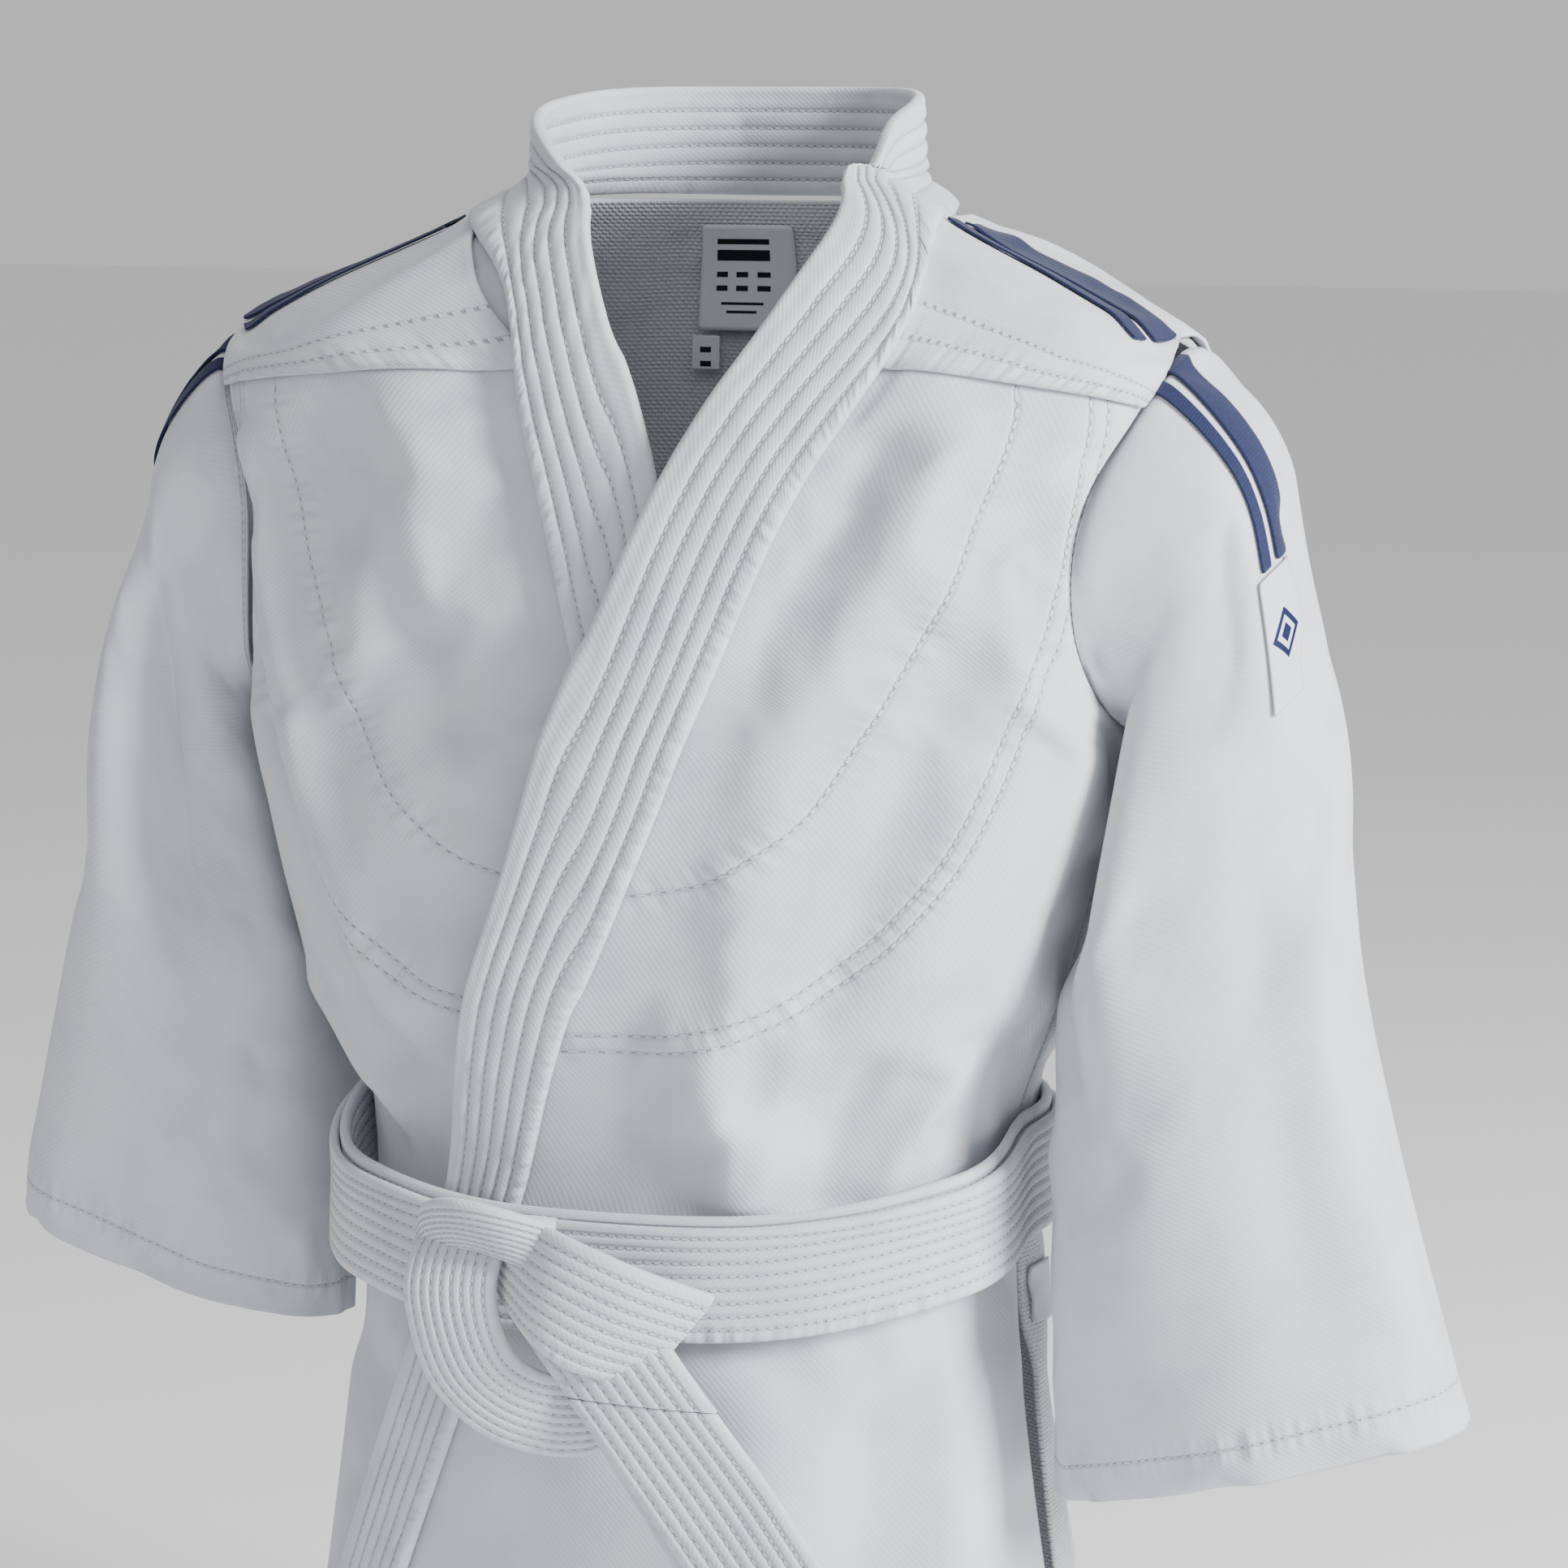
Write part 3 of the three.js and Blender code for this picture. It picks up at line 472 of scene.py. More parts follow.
def twill_material(name, colour, pitch, seams=()):
    """Twill with rows of stitching: seams lists (UV map, places of the rows across it)."""
    material, tree, shader = new_material(name, colour, 0.92, 0.25)
    _, vector = thread_coordinates(tree)
    weave, slub = weave_height(tree, vector, pitch, 900)
    height = maths(tree, "MULTIPLY", weave, 0.06)
    # Broad random blotches of a greyer tone in the cloth.
    broad = add_node(tree, "ShaderNodeTexNoise", {}, {"Scale": 28.0, "Detail": 3.0}, {"Vector": vector})
    layers = [(soft_step(tree, broad.outputs["Fac"], 0.35, 0.8), COTTON_TONE_AND_PAINTED_SHADE)]
    for layer, rows in seams:
        seam, _ = thread_coordinates(tree, layer)
        across, along = seam.outputs["Y"], seam.outputs["X"]
        near = soft_step(tree, maths(tree, "ABSOLUTE", across), 9 * MM, 2 * MM)
        ripple = add_node(tree, "ShaderNodeTexNoise", {"noise_dimensions": "1D"},
                          {"Scale": 170.0, "Detail": 1.0},
                          {"W": along})
        pucker = maths(tree, "MULTIPLY", maths(tree, "SUBTRACT", ripple.outputs["Fac"], 0.5), near)
        height = maths(tree, "MULTIPLY_ADD", pucker, 1.8, height)
        for row in rows:
            thread, groove, painted_hole_mask = stitch_line(tree, across, along, row)
            height = maths(tree, "MULTIPLY_ADD", groove, -0.5, height)
            height = maths(tree, "MULTIPLY_ADD", thread, 0.5, height)
            # The needle holes are painted dark grey as shade.
            layers.append((maths(tree, "MULTIPLY", painted_hole_mask, 0.75), PAINTED_HOLE_SHADE))
    finish_cotton(tree, shader, height, 1.0 * MM, layers, 0.9)
    return material


SEAM_ROWS = (-2.6 * MM, 2.6 * MM)
front_cotton = twill_material("bleached cotton twill, front", COTTON_WHITE, TWILL_PITCH,
                              [("chest_rows", SEAM_ROWS), ("inner_row", (0.0,)), ("hem_rows", (0.0,))])

# ---- Fronts -------------------------------------------------------------------------------------
# Left and right front, each one piece from shoulder to hem. The right front goes on first and the left
# laps it. A second layer is sewn inside the chest, which shows as curved rows of stitching.
SHOULDER_POINT = -0.72 * SHOULDER_DROP
ARMHOLE_DEPTH = 122 * MM
ARMHOLE_ANGLE = 34
UNDERARM = SHOULDER_POINT - ARMHOLE_DEPTH
HEM_STITCH = 18 * MM
COLLAR_ANGLES = np.array([
    [0, -90, 3 * MM, -90, COLLAR_STAND],
    [0.06, -60, 3 * MM, -60, COLLAR_STAND],
    [0.11, -30, 1 * MM, -34, COLLAR_STAND],
    [0.15, -8, -3 * MM, -10, COLLAR_STAND - 3 * MM],
    [0.2, 24, -6 * MM, 10, 33 * MM],
    [0.26, 46, -0.058 * WAIST_DROP, 25, 20 * MM],
    [0.34, 59, -0.12 * WAIST_DROP, 47, -0.01 * WAIST_DROP],
    [0.42, 66, -0.19 * WAIST_DROP, 70, -0.07 * WAIST_DROP],
    [0.5, 71, -0.27 * WAIST_DROP, 81, -0.17 * WAIST_DROP],
    [0.58, 75, -0.37 * WAIST_DROP, 87, -0.31 * WAIST_DROP],
    [0.66, 79, -0.5 * WAIST_DROP, 91, -0.47 * WAIST_DROP],
    [0.76, 86, -0.68 * WAIST_DROP, 97, -0.66 * WAIST_DROP],
    [0.88, 93, -0.86 * WAIST_DROP, 107, -0.85 * WAIST_DROP],
    [1, 101, -1.04 * WAIST_DROP, 115, -1.05 * WAIST_DROP],
    [1.08, 105.5, -1.17 * WAIST_DROP, 119.5, -1.17 * WAIST_DROP],
    [1.4, 129, -0.999 * BODY_LENGTH, 144, -0.999 * BODY_LENGTH],
])


RIGHT_LAPEL_LEAN = 20
LEAN = np.array([[0, 0, 0], [0.08, 0, 0], [0.15, 0.5, 0.3], [0.2, 1.1, 0.8], [0.26, 1.3, 1.45],
                 [0.34, 1.05, 1.6],
                 [0.42, 0.8, 0.87], [0.5, 0.67, 0.52], [0.66, 0.55, 0.3], [0.88, 0.3, 0.15], [1, 0.1, 0],
                 [1.08, 0, 0], [1.4, 0, 0]])
RIGHT_ANGLES = COLLAR_ANGLES.copy()
RIGHT_ANGLES[:, 1] += RIGHT_LAPEL_LEAN * np.interp(COLLAR_ANGLES[:, 0], LEAN[:, 0], LEAN[:, 1])
RIGHT_ANGLES[:, 3] += RIGHT_LAPEL_LEAN * np.interp(COLLAR_ANGLES[:, 0], LEAN[:, 0], LEAN[:, 2])
NECKLINES = {1: COLLAR_ANGLES, -1: RIGHT_ANGLES}


def smooth_table(table, s, column):
    """A table read along s and softened, so that a band has no corners."""
    total = 0
    for step in np.linspace(-0.055, 0.055, 11):
        near = np.abs(s + step)
        total = total + np.interp(near, table[:, 0], table[:, column]) * (1 - abs(step) / 0.066)
    return total / sum(1 - abs(step) / 0.066 for step in np.linspace(-0.055, 0.055, 11))


def armhole_angle(z):
    f = 2 * (z - SHOULDER_POINT) / ARMHOLE_DEPTH + 1
    return ARMHOLE_ANGLE * np.sqrt(np.maximum(0, 1 - f * f))


def lapel_angle(side, z, w):
    rows = NECKLINES[side][3:]
    levels = mix(rows[:, 2], rows[:, 4], w)
    angles = mix(rows[:, 1], rows[:, 3], w)
    return np.interp(-z, -levels, angles)


def front_level(v):
    keys = [0, 0.13, 0.36, 0.62, 1]
    levels = [-4 * MM, SHOULDER_POINT, UNDERARM, -WAIST_DROP, -BODY_LENGTH]
    return np.interp(v, keys, levels)


def polyline_distance(x, y, line):
    """Signed distance from a line in a plane, and the length along it, for arrays of points."""
    best = np.full(x.shape, 1e9)
    along = np.zeros(x.shape)
    sign = np.ones(x.shape)
    run = 0.0
    for (ax, ay), (bx, by) in zip(line[:-1], line[1:]):
        length = math.hypot(bx - ax, by - ay)
        tx, ty = (bx - ax) / length, (by - ay) / length
        s = (x - ax) * tx + (y - ay) * ty
        held = np.clip(s, 0, length)
        d = np.hypot(x - ax - held * tx, y - ay - held * ty)
        nearer = d < best
        best = np.where(nearer, d, best)
        sign = np.where(nearer, np.sign((x - ax) * ty - (y - ay) * tx), sign)
        along = np.where(nearer, run + held, along)
        run += length
    return best * sign, along


def smooth_line(points, steps=60):
    points = np.array(points, float)
    t = np.linspace(0, len(points) - 1, steps)
    base = np.stack([np.interp(t, np.arange(len(points)), points[:, k]) for k in (0, 1)], 1)
    for _ in range(6):
        base[1:-1] = (base[:-2] + base[1:-1] * 2 + base[2:]) / 4
    return base


DEGREE = 1.75 * MM
FOLDS = {
    1: [(4.5, 9, [(53, -71), (70, -176), (73, -287)]), (-4, 10, [(43, -93), (54, -198), (63, -282)]),
        (3.5, 10, [(22, -120), (25, -218), (16, -300)]), (-3, 7, [(62, -75), (77, -150)]),
        (5, 6, [(66, -318), (62, -262)]), (-4, 6, [(56, -318), (50, -270)]), (4, 6, [(44, -316), (34, -270)]),
        (5, 12, [(30, -400), (36, -556)]), (-4, 12, [(48, -400), (52, -556)]),
        (4.5, 12, [(66, -390), (74, -556)])],
    -1: [(4, 10, [(68, -60), (74, -125)]), (-4, 9, [(59, -68), (73, -165)]),
         (6, 8, [(36, -78), (49, -204), (62, -272)]), (-6, 8, [(30, -150), (43, -215), (55, -280)]),
         (5, 7, [(28, -262), (50, -300)]), (-4, 6, [(30, -290), (46, -316)]),
         (5, 12, [(30, -400), (34, -556)]), (-4, 12, [(46, -400), (52, -556)]),
         (4, 12, [(64, -390), (76, -556)])],
}


def worn_folds(side, angle, z):
    """Broad folds of the worn cloth, each with a height and width in mm along a line of (angle, level)."""
    total = 0 * angle
    for height, width, line in FOLDS[side]:
        path = smooth_line([(a * DEGREE, b * MM) for a, b in line], 24)
        d, _ = polyline_distance(angle * DEGREE, z, path)
        total = total + height * MM * np.exp(-(d / (width * MM)) ** 2)
    waist = belt_level(angle)
    gathers = 3 * MM * bump(z, waist + 50 * MM, 28 * MM) * np.sin(np.radians(angle) * 11 + side)
    return total + gathers


CHEST_CURVE = smooth_line([(33 * DEGREE, -52 * MM), (33 * DEGREE, -112 * MM), (37 * DEGREE, -163 * MM),
                           (43 * DEGREE, -203 * MM), (52 * DEGREE, -231 * MM), (66 * DEGREE, -254 * MM),
                           (80 * DEGREE, -264 * MM), (100 * DEGREE, -268 * MM)])
INNER_CURVE = smooth_line([(45 * DEGREE, -58 * MM), (50 * DEGREE, -111 * MM), (58 * DEGREE, -160 * MM),
                           (65 * DEGREE, -190 * MM), (76 * DEGREE, -212 * MM), (95 * DEGREE, -222 * MM)])
FRONT_ACROSS = 34
FRONT_DOWN = 104

fronts = {}
shifts = {}
for side, name, flap in ((1, "left", "outer_front_skirt"), (-1, "right", "inner_front_skirt")):
    u, v = grid_parameters(FRONT_ACROSS, FRONT_DOWN)
    z = front_level(v)
    vent = 2.5 * rise(-z, WAIST_DROP + 40 * MM, WAIST_DROP + 80 * MM)
    start = np.maximum(armhole_angle(z), 0.3 + vent)
    end = np.maximum(start + 3, lapel_angle(side, z, 0.3))
    angle = mix(start, end, u)
    edge_hold = np.minimum(rise(u, 0, 0.12), rise(1 - u, 0, 0.2))
    base = on_form(angle, z, FABRIC + front_out(side, angle) + worn_folds(side, angle, z) * edge_hold)
    pinch = 6 * MM * bump(angle, 72, 3.2) * bump(z, -300 * MM, 26 * MM) * (side > 0)
    base = base + unit(base * (1, 1, 0)) * pinch[..., None]
    pinned = np.zeros(u.shape)
    pinned[0, :] = 1
    pinned[:, 0] = np.where(z[:, 0] > -WAIST_DROP - 60 * MM, 1, 0)
    pinned[:, -5:] = 1
    pinned = np.maximum(pinned, (np.abs(z - belt_level(angle)) < 0.45 * BELT_WIDTH) * 1.0)
    covered = (side < 0) * rise(angle, 172 - lapel_angle(1, z, 1), 180 - lapel_angle(1, z, 1))
    plain = on_form(angle, z, FABRIC + front_out(side, angle))
    base[..., 0] *= side
    plain[..., 0] *= side
    draped = drape(base, pinned, CLOTH_GROWTH, 0.15, 9.0, side)
    draped = mix(draped, plain, 0.9 * covered[..., None])
    shifts[name] = (draped - plain, start[:, 0], end[:, 0])
    fronts[name] = (draped, angle, z)
    chest_d, chest_s = polyline_distance(angle * DEGREE, z, CHEST_CURVE)
    inner_d, inner_s = polyline_distance(angle * DEGREE, z, INNER_CURVE)
    hem = np.stack([angle * DEGREE, z + BODY_LENGTH - HEM_STITCH], -1)
    maps = {"UVMap": cloth_uv(base), "chest_rows": np.stack([chest_s, chest_d], -1),
            "inner_row": np.stack([inner_s, inner_d], -1), "hem_rows": hem}
    cloth = sheet_piece(name + "_front_cloth", draped, maps, front_cotton, FABRIC)
    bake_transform(cloth)
    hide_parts("front_panel_" + name, "skirt_front_" + name)

# ---- Chest reinforcement -------------------------------------------------------------------------
# A second layer of the same cotton inside each front, from the shoulder to the curved rows of
# stitching. Only its edges show, through the neck.
plain_cotton = twill_material("bleached cotton twill, plain", COTTON_WHITE, TWILL_PITCH)
INNER_LAYER = 1.3 * MM
for side, name in ((1, "left"), (-1, "right")):
    draped, angle, z = fronts[name]
    inward = grid_normals(draped, side)
    rows = slice(15, 58)
    points = (draped - inward * (FABRIC + 0.5 * MM))[rows, 3:30:3]
    layer = sheet_piece(name + "_chest_lining", points, {"UVMap": cloth_uv(points)},
                        plain_cotton, INNER_LAYER, 1)
    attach(layer, "jacket")
    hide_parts("chest_reinforcement_" + name)

# ---- Back ----------------------------------------------------------------------------------------
# The back is one piece from the neck to the hem, in a rice-grain weave that shows inside the neck.
# It hangs smooth over the shoulder blades, gathers at the belt and is open below it at both sides.
GRAIN_PITCH = 2.4 * MM


def rice_material(name, colour, pitch):
    """The woven grains of a judo jacket, each a small raised cushion, in staggered rows."""
    material, tree, shader = new_material(name, colour, 0.92, 0.25)
    split, vector = thread_coordinates(tree)
    x = maths(tree, "DIVIDE", split.outputs["X"], pitch)
    y = maths(tree, "DIVIDE", split.outputs["Y"], 0.6 * pitch)
    row = maths(tree, "FLOOR", y)
    shifted = maths(tree, "MULTIPLY_ADD", row, 0.5, x)
    across = maths(tree, "SUBTRACT", maths(tree, "FRACT", shifted), 0.5)
    down = maths(tree, "SUBTRACT", maths(tree, "FRACT", y), 0.5)
    round_off = maths(tree, "ADD", maths(tree, "MULTIPLY", across, across),
                      maths(tree, "MULTIPLY", down, down))
    grain = soft_step(tree, round_off, 0.24, 0.02)
    # The gaps between the grains are painted greyer as shade; the grains themselves stay white.
    finish_cotton(tree, shader, maths(tree, "MULTIPLY", grain, 0.5), 1.0 * MM,
                  [(maths(tree, "SUBTRACT", 0.35, maths(tree, "MULTIPLY", grain, 0.35)), COTTON_TONE_AND_PAINTED_SHADE)], 0.9)
    return material


rice_cotton = rice_material("bleached cotton, rice-grain weave", COTTON_WHITE, GRAIN_PITCH)
BACK_ACROSS = 56
BACK_DOWN = 104
u, v = grid_parameters(BACK_ACROSS, BACK_DOWN)
z = np.interp(v, [0, 0.13, 0.36, 0.62, 1], [2 * MM, SHOULDER_POINT, UNDERARM, -WAIST_DROP, -BODY_LENGTH])
vent = 2.5 * rise(-z, WAIST_DROP + 40 * MM, WAIST_DROP + 80 * MM)
start = np.maximum(armhole_angle(z), 0.3 + vent)
angle = mix(180 + start, 360 - start, u)
edge_hold = np.minimum(rise(u, 0, 0.1), rise(1 - u, 0, 0.1))
waist = belt_level(angle)
folds = 3.0 * MM * bump(z, waist + 60 * MM, 40 * MM) * np.sin(np.radians(angle) * 12 + 0.4)
skirt_waves = 0.5 + 0.5 * np.sin(np.radians(angle) * 9 + 1.3)
folds = folds + 5 * MM * rise(waist - z, 20 * MM, 150 * MM) * skirt_waves
back_plain = on_form(angle, z, FABRIC)
base = on_form(angle, z, FABRIC + folds * edge_hold)
pinned = np.zeros(u.shape)
pinned[:4, :] = 1
pinned[:, 0] = pinned[:, -1] = np.where(z[:, 0] > -WAIST_DROP - 60 * MM, 1, 0)
pinned = np.maximum(pinned, (np.abs(z - waist) < 0.45 * BELT_WIDTH) * 1.0)
back = drape(base, pinned, CLOTH_GROWTH, 0.15, 9.0, 1)
back_shift = (back - back_plain, 180 + start[:, 0], 360 - start[:, 0])
cloth = sheet_piece("back_cloth", back, {"UVMap": cloth_uv(base)}, rice_cotton, FABRIC)
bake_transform(cloth)
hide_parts("back_panel", "skirt_back")

# ---- Skirt hems ----------------------------------------------------------------------------------
# The turned-up hem inside each skirt panel: the last two centimetres of the cloth, folded up inside.
for name, points, node, body in (
        ("left_hem", fronts["left"][0], "skirt_hem_facing_left", "outer_front_skirt"),
        ("right_hem", fronts["right"][0], "skirt_hem_facing_right", "inner_front_skirt"),
        ("back_hem", back, "skirt_hem_facing_back", "back_skirt")):
    side = -1 if name == "right_hem" else 1
    inside = points - grid_normals(points, side) * (FABRIC + 0.3 * MM)
    u, v = grid_parameters(points.shape[1] - 3, 4)
    turned = sample(inside, mix(0.02, 0.98, u), mix(0.91, 0.996, v))
    layer = sheet_piece(name + "_fold", turned, {"UVMap": cloth_uv(turned)}, plain_cotton, 1.2 * MM, 1)
    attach(layer, body)
    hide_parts(node)

# ---- Sleeves -------------------------------------------------------------------------------------
# Wide straight-cut sleeves, set into the armhole and hanging beside the body. The right one is creased
# across where its arm is bent. Each hem is turned up and sewn down with one row.
LEFT_SLEEVE_LENGTH = 360 * MM
RIGHT_SLEEVE_LENGTH = 325 * MM
LEFT_SLEEVE_HEM_WIDTH = 136 * MM
RIGHT_SLEEVE_HEM_WIDTH = 122 * MM
LEFT_SLEEVE_FLARE = 100 * MM
RIGHT_SLEEVE_FLARE = 80 * MM
LEFT_SLEEVE_SPREAD = 62 * MM
RIGHT_SLEEVE_SPREAD = 48 * MM
SLEEVE_HEM_DEPTH = 72 * MM
SLEEVE_CLEARANCE = 9 * MM
SLEEVE_SEAM_GAP = 3.2 * MM
SLEEVE_FACING = 18 * MM
ARM_MIDDLE = SHOULDER_POINT - ARMHOLE_DEPTH / 2


def read_rows(rows, s, column):
    rows = np.array(rows, float)
    return np.interp(s, rows[:, 0], rows[:, column])


def sleeve_point(turn, s, length, flare, width, spread):
    """A point of the left sleeve: turn 0 is its outer line, 0.25 the front and 0.5 the inner line."""
    x, top = SHOULDER_HALF_WIDTH, SHOULDER_POINT
    outer = [[0, x - 2 * MM, top], [0.06, x + 0.23 * spread, top - 13 * MM],
             [0.14, x + 0.44 * spread, top - 36 * MM], [0.3, x + 0.65 * spread, top - 0.25 * length],
             [0.6, x + spread, top - 0.57 * length],
             [1, x + flare, top - 0.97 * length]]
    low = top - length - 24 * MM
    inner = [[0, x - 10 * MM, UNDERARM], [0.06, x - 10 * MM, UNDERARM - 3 * MM],
             [0.14, x - 20 * MM, UNDERARM - 14 * MM], [0.3, x - 33 * MM, mix(UNDERARM, low, 0.2)],
             [0.6, x - 40 * MM, mix(UNDERARM, low, 0.55)], [1, x + flare - width, low]]
    soft = [-0.03, 0, 0.03]
    ox, oz = (sum(read_rows(outer, s + d, k) for d in soft) / 3 for k in (1, 2))
    ix, iz = (sum(read_rows(inner, s + d, k) for d in soft) / 3 for k in (1, 2))
    ix = np.maximum(ix, level(iz, 1) + SLEEVE_CLEARANCE)
    t = 2 * np.pi * turn
    c = np.sign(np.cos(t)) * np.abs(np.cos(t)) ** 0.85
    q = np.sign(np.sin(t)) * np.abs(np.sin(t)) ** 0.85
    depth = mix(50 * MM, SLEEVE_HEM_DEPTH / 2, rise(s, 0.1, 1))
    y = mix(level(ARM_MIDDLE, 3), -16 * MM, rise(s, 0.05, 0.8)) - depth * q
    free = np.stack(np.broadcast_arrays((ox + ix) / 2 + (ox - ix) / 2 * c, y,
                                        (oz + iz) / 2 + (oz - iz) / 2 * c), -1)
    arm_z = ARM_MIDDLE + ARMHOLE_DEPTH / 2 * np.cos(t)
    seam = form_point(np.sign(np.sin(t)) * armhole_angle(arm_z), arm_z) + np.array([SLEEVE_SEAM_GAP, 0, 0])
    return mix(seam, free, rise(s, 0, 0.13)[..., None])


def sleeve_folds(side, turn, s):
    """Creases that run down and across each sleeve, deepest at the bent right arm."""
    around = lambda t, w: np.exp(-((np.mod(turn - t + 0.5, 1) - 0.5) / w) ** 2)
    if side < 0:
        return MM * (-11 * around(0.26 + 0.1 * (s - 0.3), 0.05) * bump(s, 0.34, 0.2)
                     + 7 * around(0.17, 0.05) * bump(s, 0.42, 0.2)
                     + 6 * around(0.38, 0.06) * bump(s, 0.5, 0.22)
                     - 5 * around(0.1, 0.04) * bump(s, 0.3, 0.15) + 4 * around(0.75, 0.1) * bump(s, 0.5, 0.2))
    return MM * (-6 * around(0.42 - 0.1 * s, 0.045) * bump(s, 0.35, 0.3)
                 + 5 * around(0.3, 0.07) * bump(s, 0.45, 0.3)
                 - 3.5 * around(0.12 + 0.06 * s, 0.04) * bump(s, 0.75, 0.3)
                 + 3 * around(0.06, 0.04) * bump(s, 0.85, 0.3) - 5 * around(0.7, 0.08) * bump(s, 0.4, 0.25))


def bend_with_arm(obj):
    """Bakes the piece's placement into its mesh."""
    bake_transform(obj)


sleeve_cotton = twill_material("bleached cotton twill, sleeve", COTTON_WHITE, TWILL_PITCH,
                               [("hem_rows", (0.0,)), ("armhole_rows", (3 * MM, 6 * MM))])
SLEEVE_AROUND = 64
SLEEVE_DOWN = 52
sleeves = {}
LEFT_CUT = (LEFT_SLEEVE_LENGTH, LEFT_SLEEVE_FLARE, LEFT_SLEEVE_HEM_WIDTH, LEFT_SLEEVE_SPREAD)
RIGHT_CUT = (RIGHT_SLEEVE_LENGTH, RIGHT_SLEEVE_FLARE, RIGHT_SLEEVE_HEM_WIDTH, RIGHT_SLEEVE_SPREAD)
for side, name, cut in ((1, "left", LEFT_CUT), (-1, "right", RIGHT_CUT)):
    length = cut[0]
    u, v = grid_parameters(SLEEVE_AROUND, SLEEVE_DOWN)
    turn, s = u - 0.5, v ** 1.15
    base = sleeve_point(turn, s, *cut)
    out = FABRIC + 1.25 * sleeve_folds(side, turn, s) * rise(s, 0.02, 0.15)
    normal = grid_normals(base, 1)
    normal[:, 0] = normal[:, -1] = unit(normal[:, 1] + normal[:, -2])
    base = base + normal * out[..., None]
    base[..., 0] *= side
    pinned = np.zeros(u.shape)
    pinned[:3, :] = 1
    pinned[:, 0] = pinned[:, -1] = 1
    pinned[-1, ::8] = 1
    draped = drape(base, pinned, 0.03, 0.1, 12.0, side)
    sleeves[name] = draped
    run = cloth_uv(base)
    maps = {"UVMap": run, "hem_rows": np.stack([run[..., 0], (1 - s) * length - SLEEVE_FACING], -1),
            "armhole_rows": np.stack([run[..., 0], s * length], -1)}
    cloth = sheet_piece(name + "_sleeve_cloth", draped, maps, sleeve_cotton, FABRIC, 2, closed=True)
    faces_out = sum((f.center - Vector((side * 0.21, -0.01, f.center.z))).dot(f.normal)
                    for f in cloth.data.polygons)
    if faces_out < 0:
        cloth.data.flip_normals()
    bend_with_arm(cloth)
    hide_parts("sleeve_" + name)

# ---- Sleeve hems and gussets ---------------------------------------------------------------------
# The hem of each sleeve is turned up inside. A small diamond of cloth is let in under each arm.
for side, name in ((1, "left"), (-1, "right")):
    points = sleeves[name]
    inside = points - grid_normals(points, side) * (FABRIC + 0.4 * MM)
    u, v = grid_parameters(SLEEVE_AROUND, 4)
    turned = sample(inside, u, mix(0.953, 0.996, v))
    layer = sheet_piece(name + "_sleeve_hem", turned, {"UVMap": cloth_uv(turned)},
                        plain_cotton, 1.2 * MM, 1, True)
    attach(layer, "sleeve_" + name + "_body")
    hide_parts("sleeve_hem_facing_" + name)
    u, v = grid_parameters(8, 10)
    across = 0.09 * np.sin(np.pi * mix(0.12, 0.88, v)) * (2 * u - 1)
    inside = points - grid_normals(points, side) * (FABRIC + 0.8 * MM)
    patch = sample(inside, np.mod(1 + across, 1) * 0.999 + 0.0005, mix(0.18, 0.35, v))
    patch = np.where((across < 0)[..., None], patch,
                     sample(inside, np.clip(across, 0.001, 1), mix(0.18, 0.35, v)))
    layer = sheet_piece(name + "_gusset", patch, {"UVMap": cloth_uv(patch)}, plain_cotton, 1.0 * MM, 1)
    bend_with_arm(layer)
    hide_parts("underarm_gusset_" + name)

# ---- Shoulder yokes ------------------------------------------------------------------------------
# A second layer over each shoulder, from the neck to the armhole, held in front and behind by two
# rows of stitching. It follows the folds of the cloth under it.
YOKE_LAYER = 1.4 * MM


def cloth_shift(name, side, angle, z):
    """How far the draped cloth under a point of the shoulder has moved from the worn shape."""
    total = np.zeros(angle.shape + (3,))
    for key, forward in ((name, True), ("back", False)):
        moved, start, end = back_shift if key == "back" else shifts[key]
        rows = np.linspace(0, 1, moved.shape[0])
        top = [(2 if key == "back" else -4) * MM, SHOULDER_POINT, UNDERARM]
        v = np.interp(-z, [-t for t in top], [0, 0.13, 0.36])
        a, b = np.interp(v, rows, start), np.interp(v, rows, end)
        turned = angle if forward else (360 + angle if side > 0 else 180 - angle)
        found = sample(moved, np.clip((turned - a) / (b - a), 0, 1), v)
        total = np.where(((angle >= 0) == forward)[..., None], found, total)
    return total


def on_cloth(name, side, angle, z, out):
    point = on_form(angle, z, front_out(side, angle) + out)
    point[..., 0] *= side
    return point + cloth_shift(name, side, angle, z)


yoke_cotton = twill_material("bleached cotton twill, yoke", COTTON_WHITE, TWILL_PITCH,
                             [("edge_rows", (4 * MM, 9 * MM))])
for side, name in ((1, "left"), (-1, "right")):
    u, v = grid_parameters(30, 44)
    forward = 2 * v - 1
    reach = np.abs(forward)
    edge_angle = np.where(forward > 0, mix(64 if side > 0 else 84, 24, u), mix(70, 26, u))
    drop = np.where(forward > 0, mix(-50 * MM, -61 * MM, u), mix(-14 * MM, -56 * MM, u))
    z = mix(mix(-4 * MM, SHOULDER_POINT + 2 * MM, u), drop, reach ** mix(4, 1.7, np.minimum(1, 2 * u)))
    points = on_cloth(name, side, edge_angle * forward, z, FABRIC + 1.2 * MM + YOKE_LAYER)
    run = cloth_uv(points)
    maps = {"UVMap": run, "edge_rows": np.stack([u * 0.11, (1 - reach) * 0.075], -1)}
    yoke = sheet_piece(name + "_yoke", points, maps, yoke_cotton, YOKE_LAYER, 1)
    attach(yoke, "jacket")
    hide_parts("shoulder_yoke_" + name)

# ---- Collar and lapels ---------------------------------------------------------------------------
# One thick padded band runs from the belt up round the neck and down the other side. Five rows of
# stitching pull it into channels, and its free edge is rolled. It continues below the belt.
LAPEL_BASE = 3 * MM
LAPEL_CHANNELS = 6
BAND_WIDTH = 46 * MM


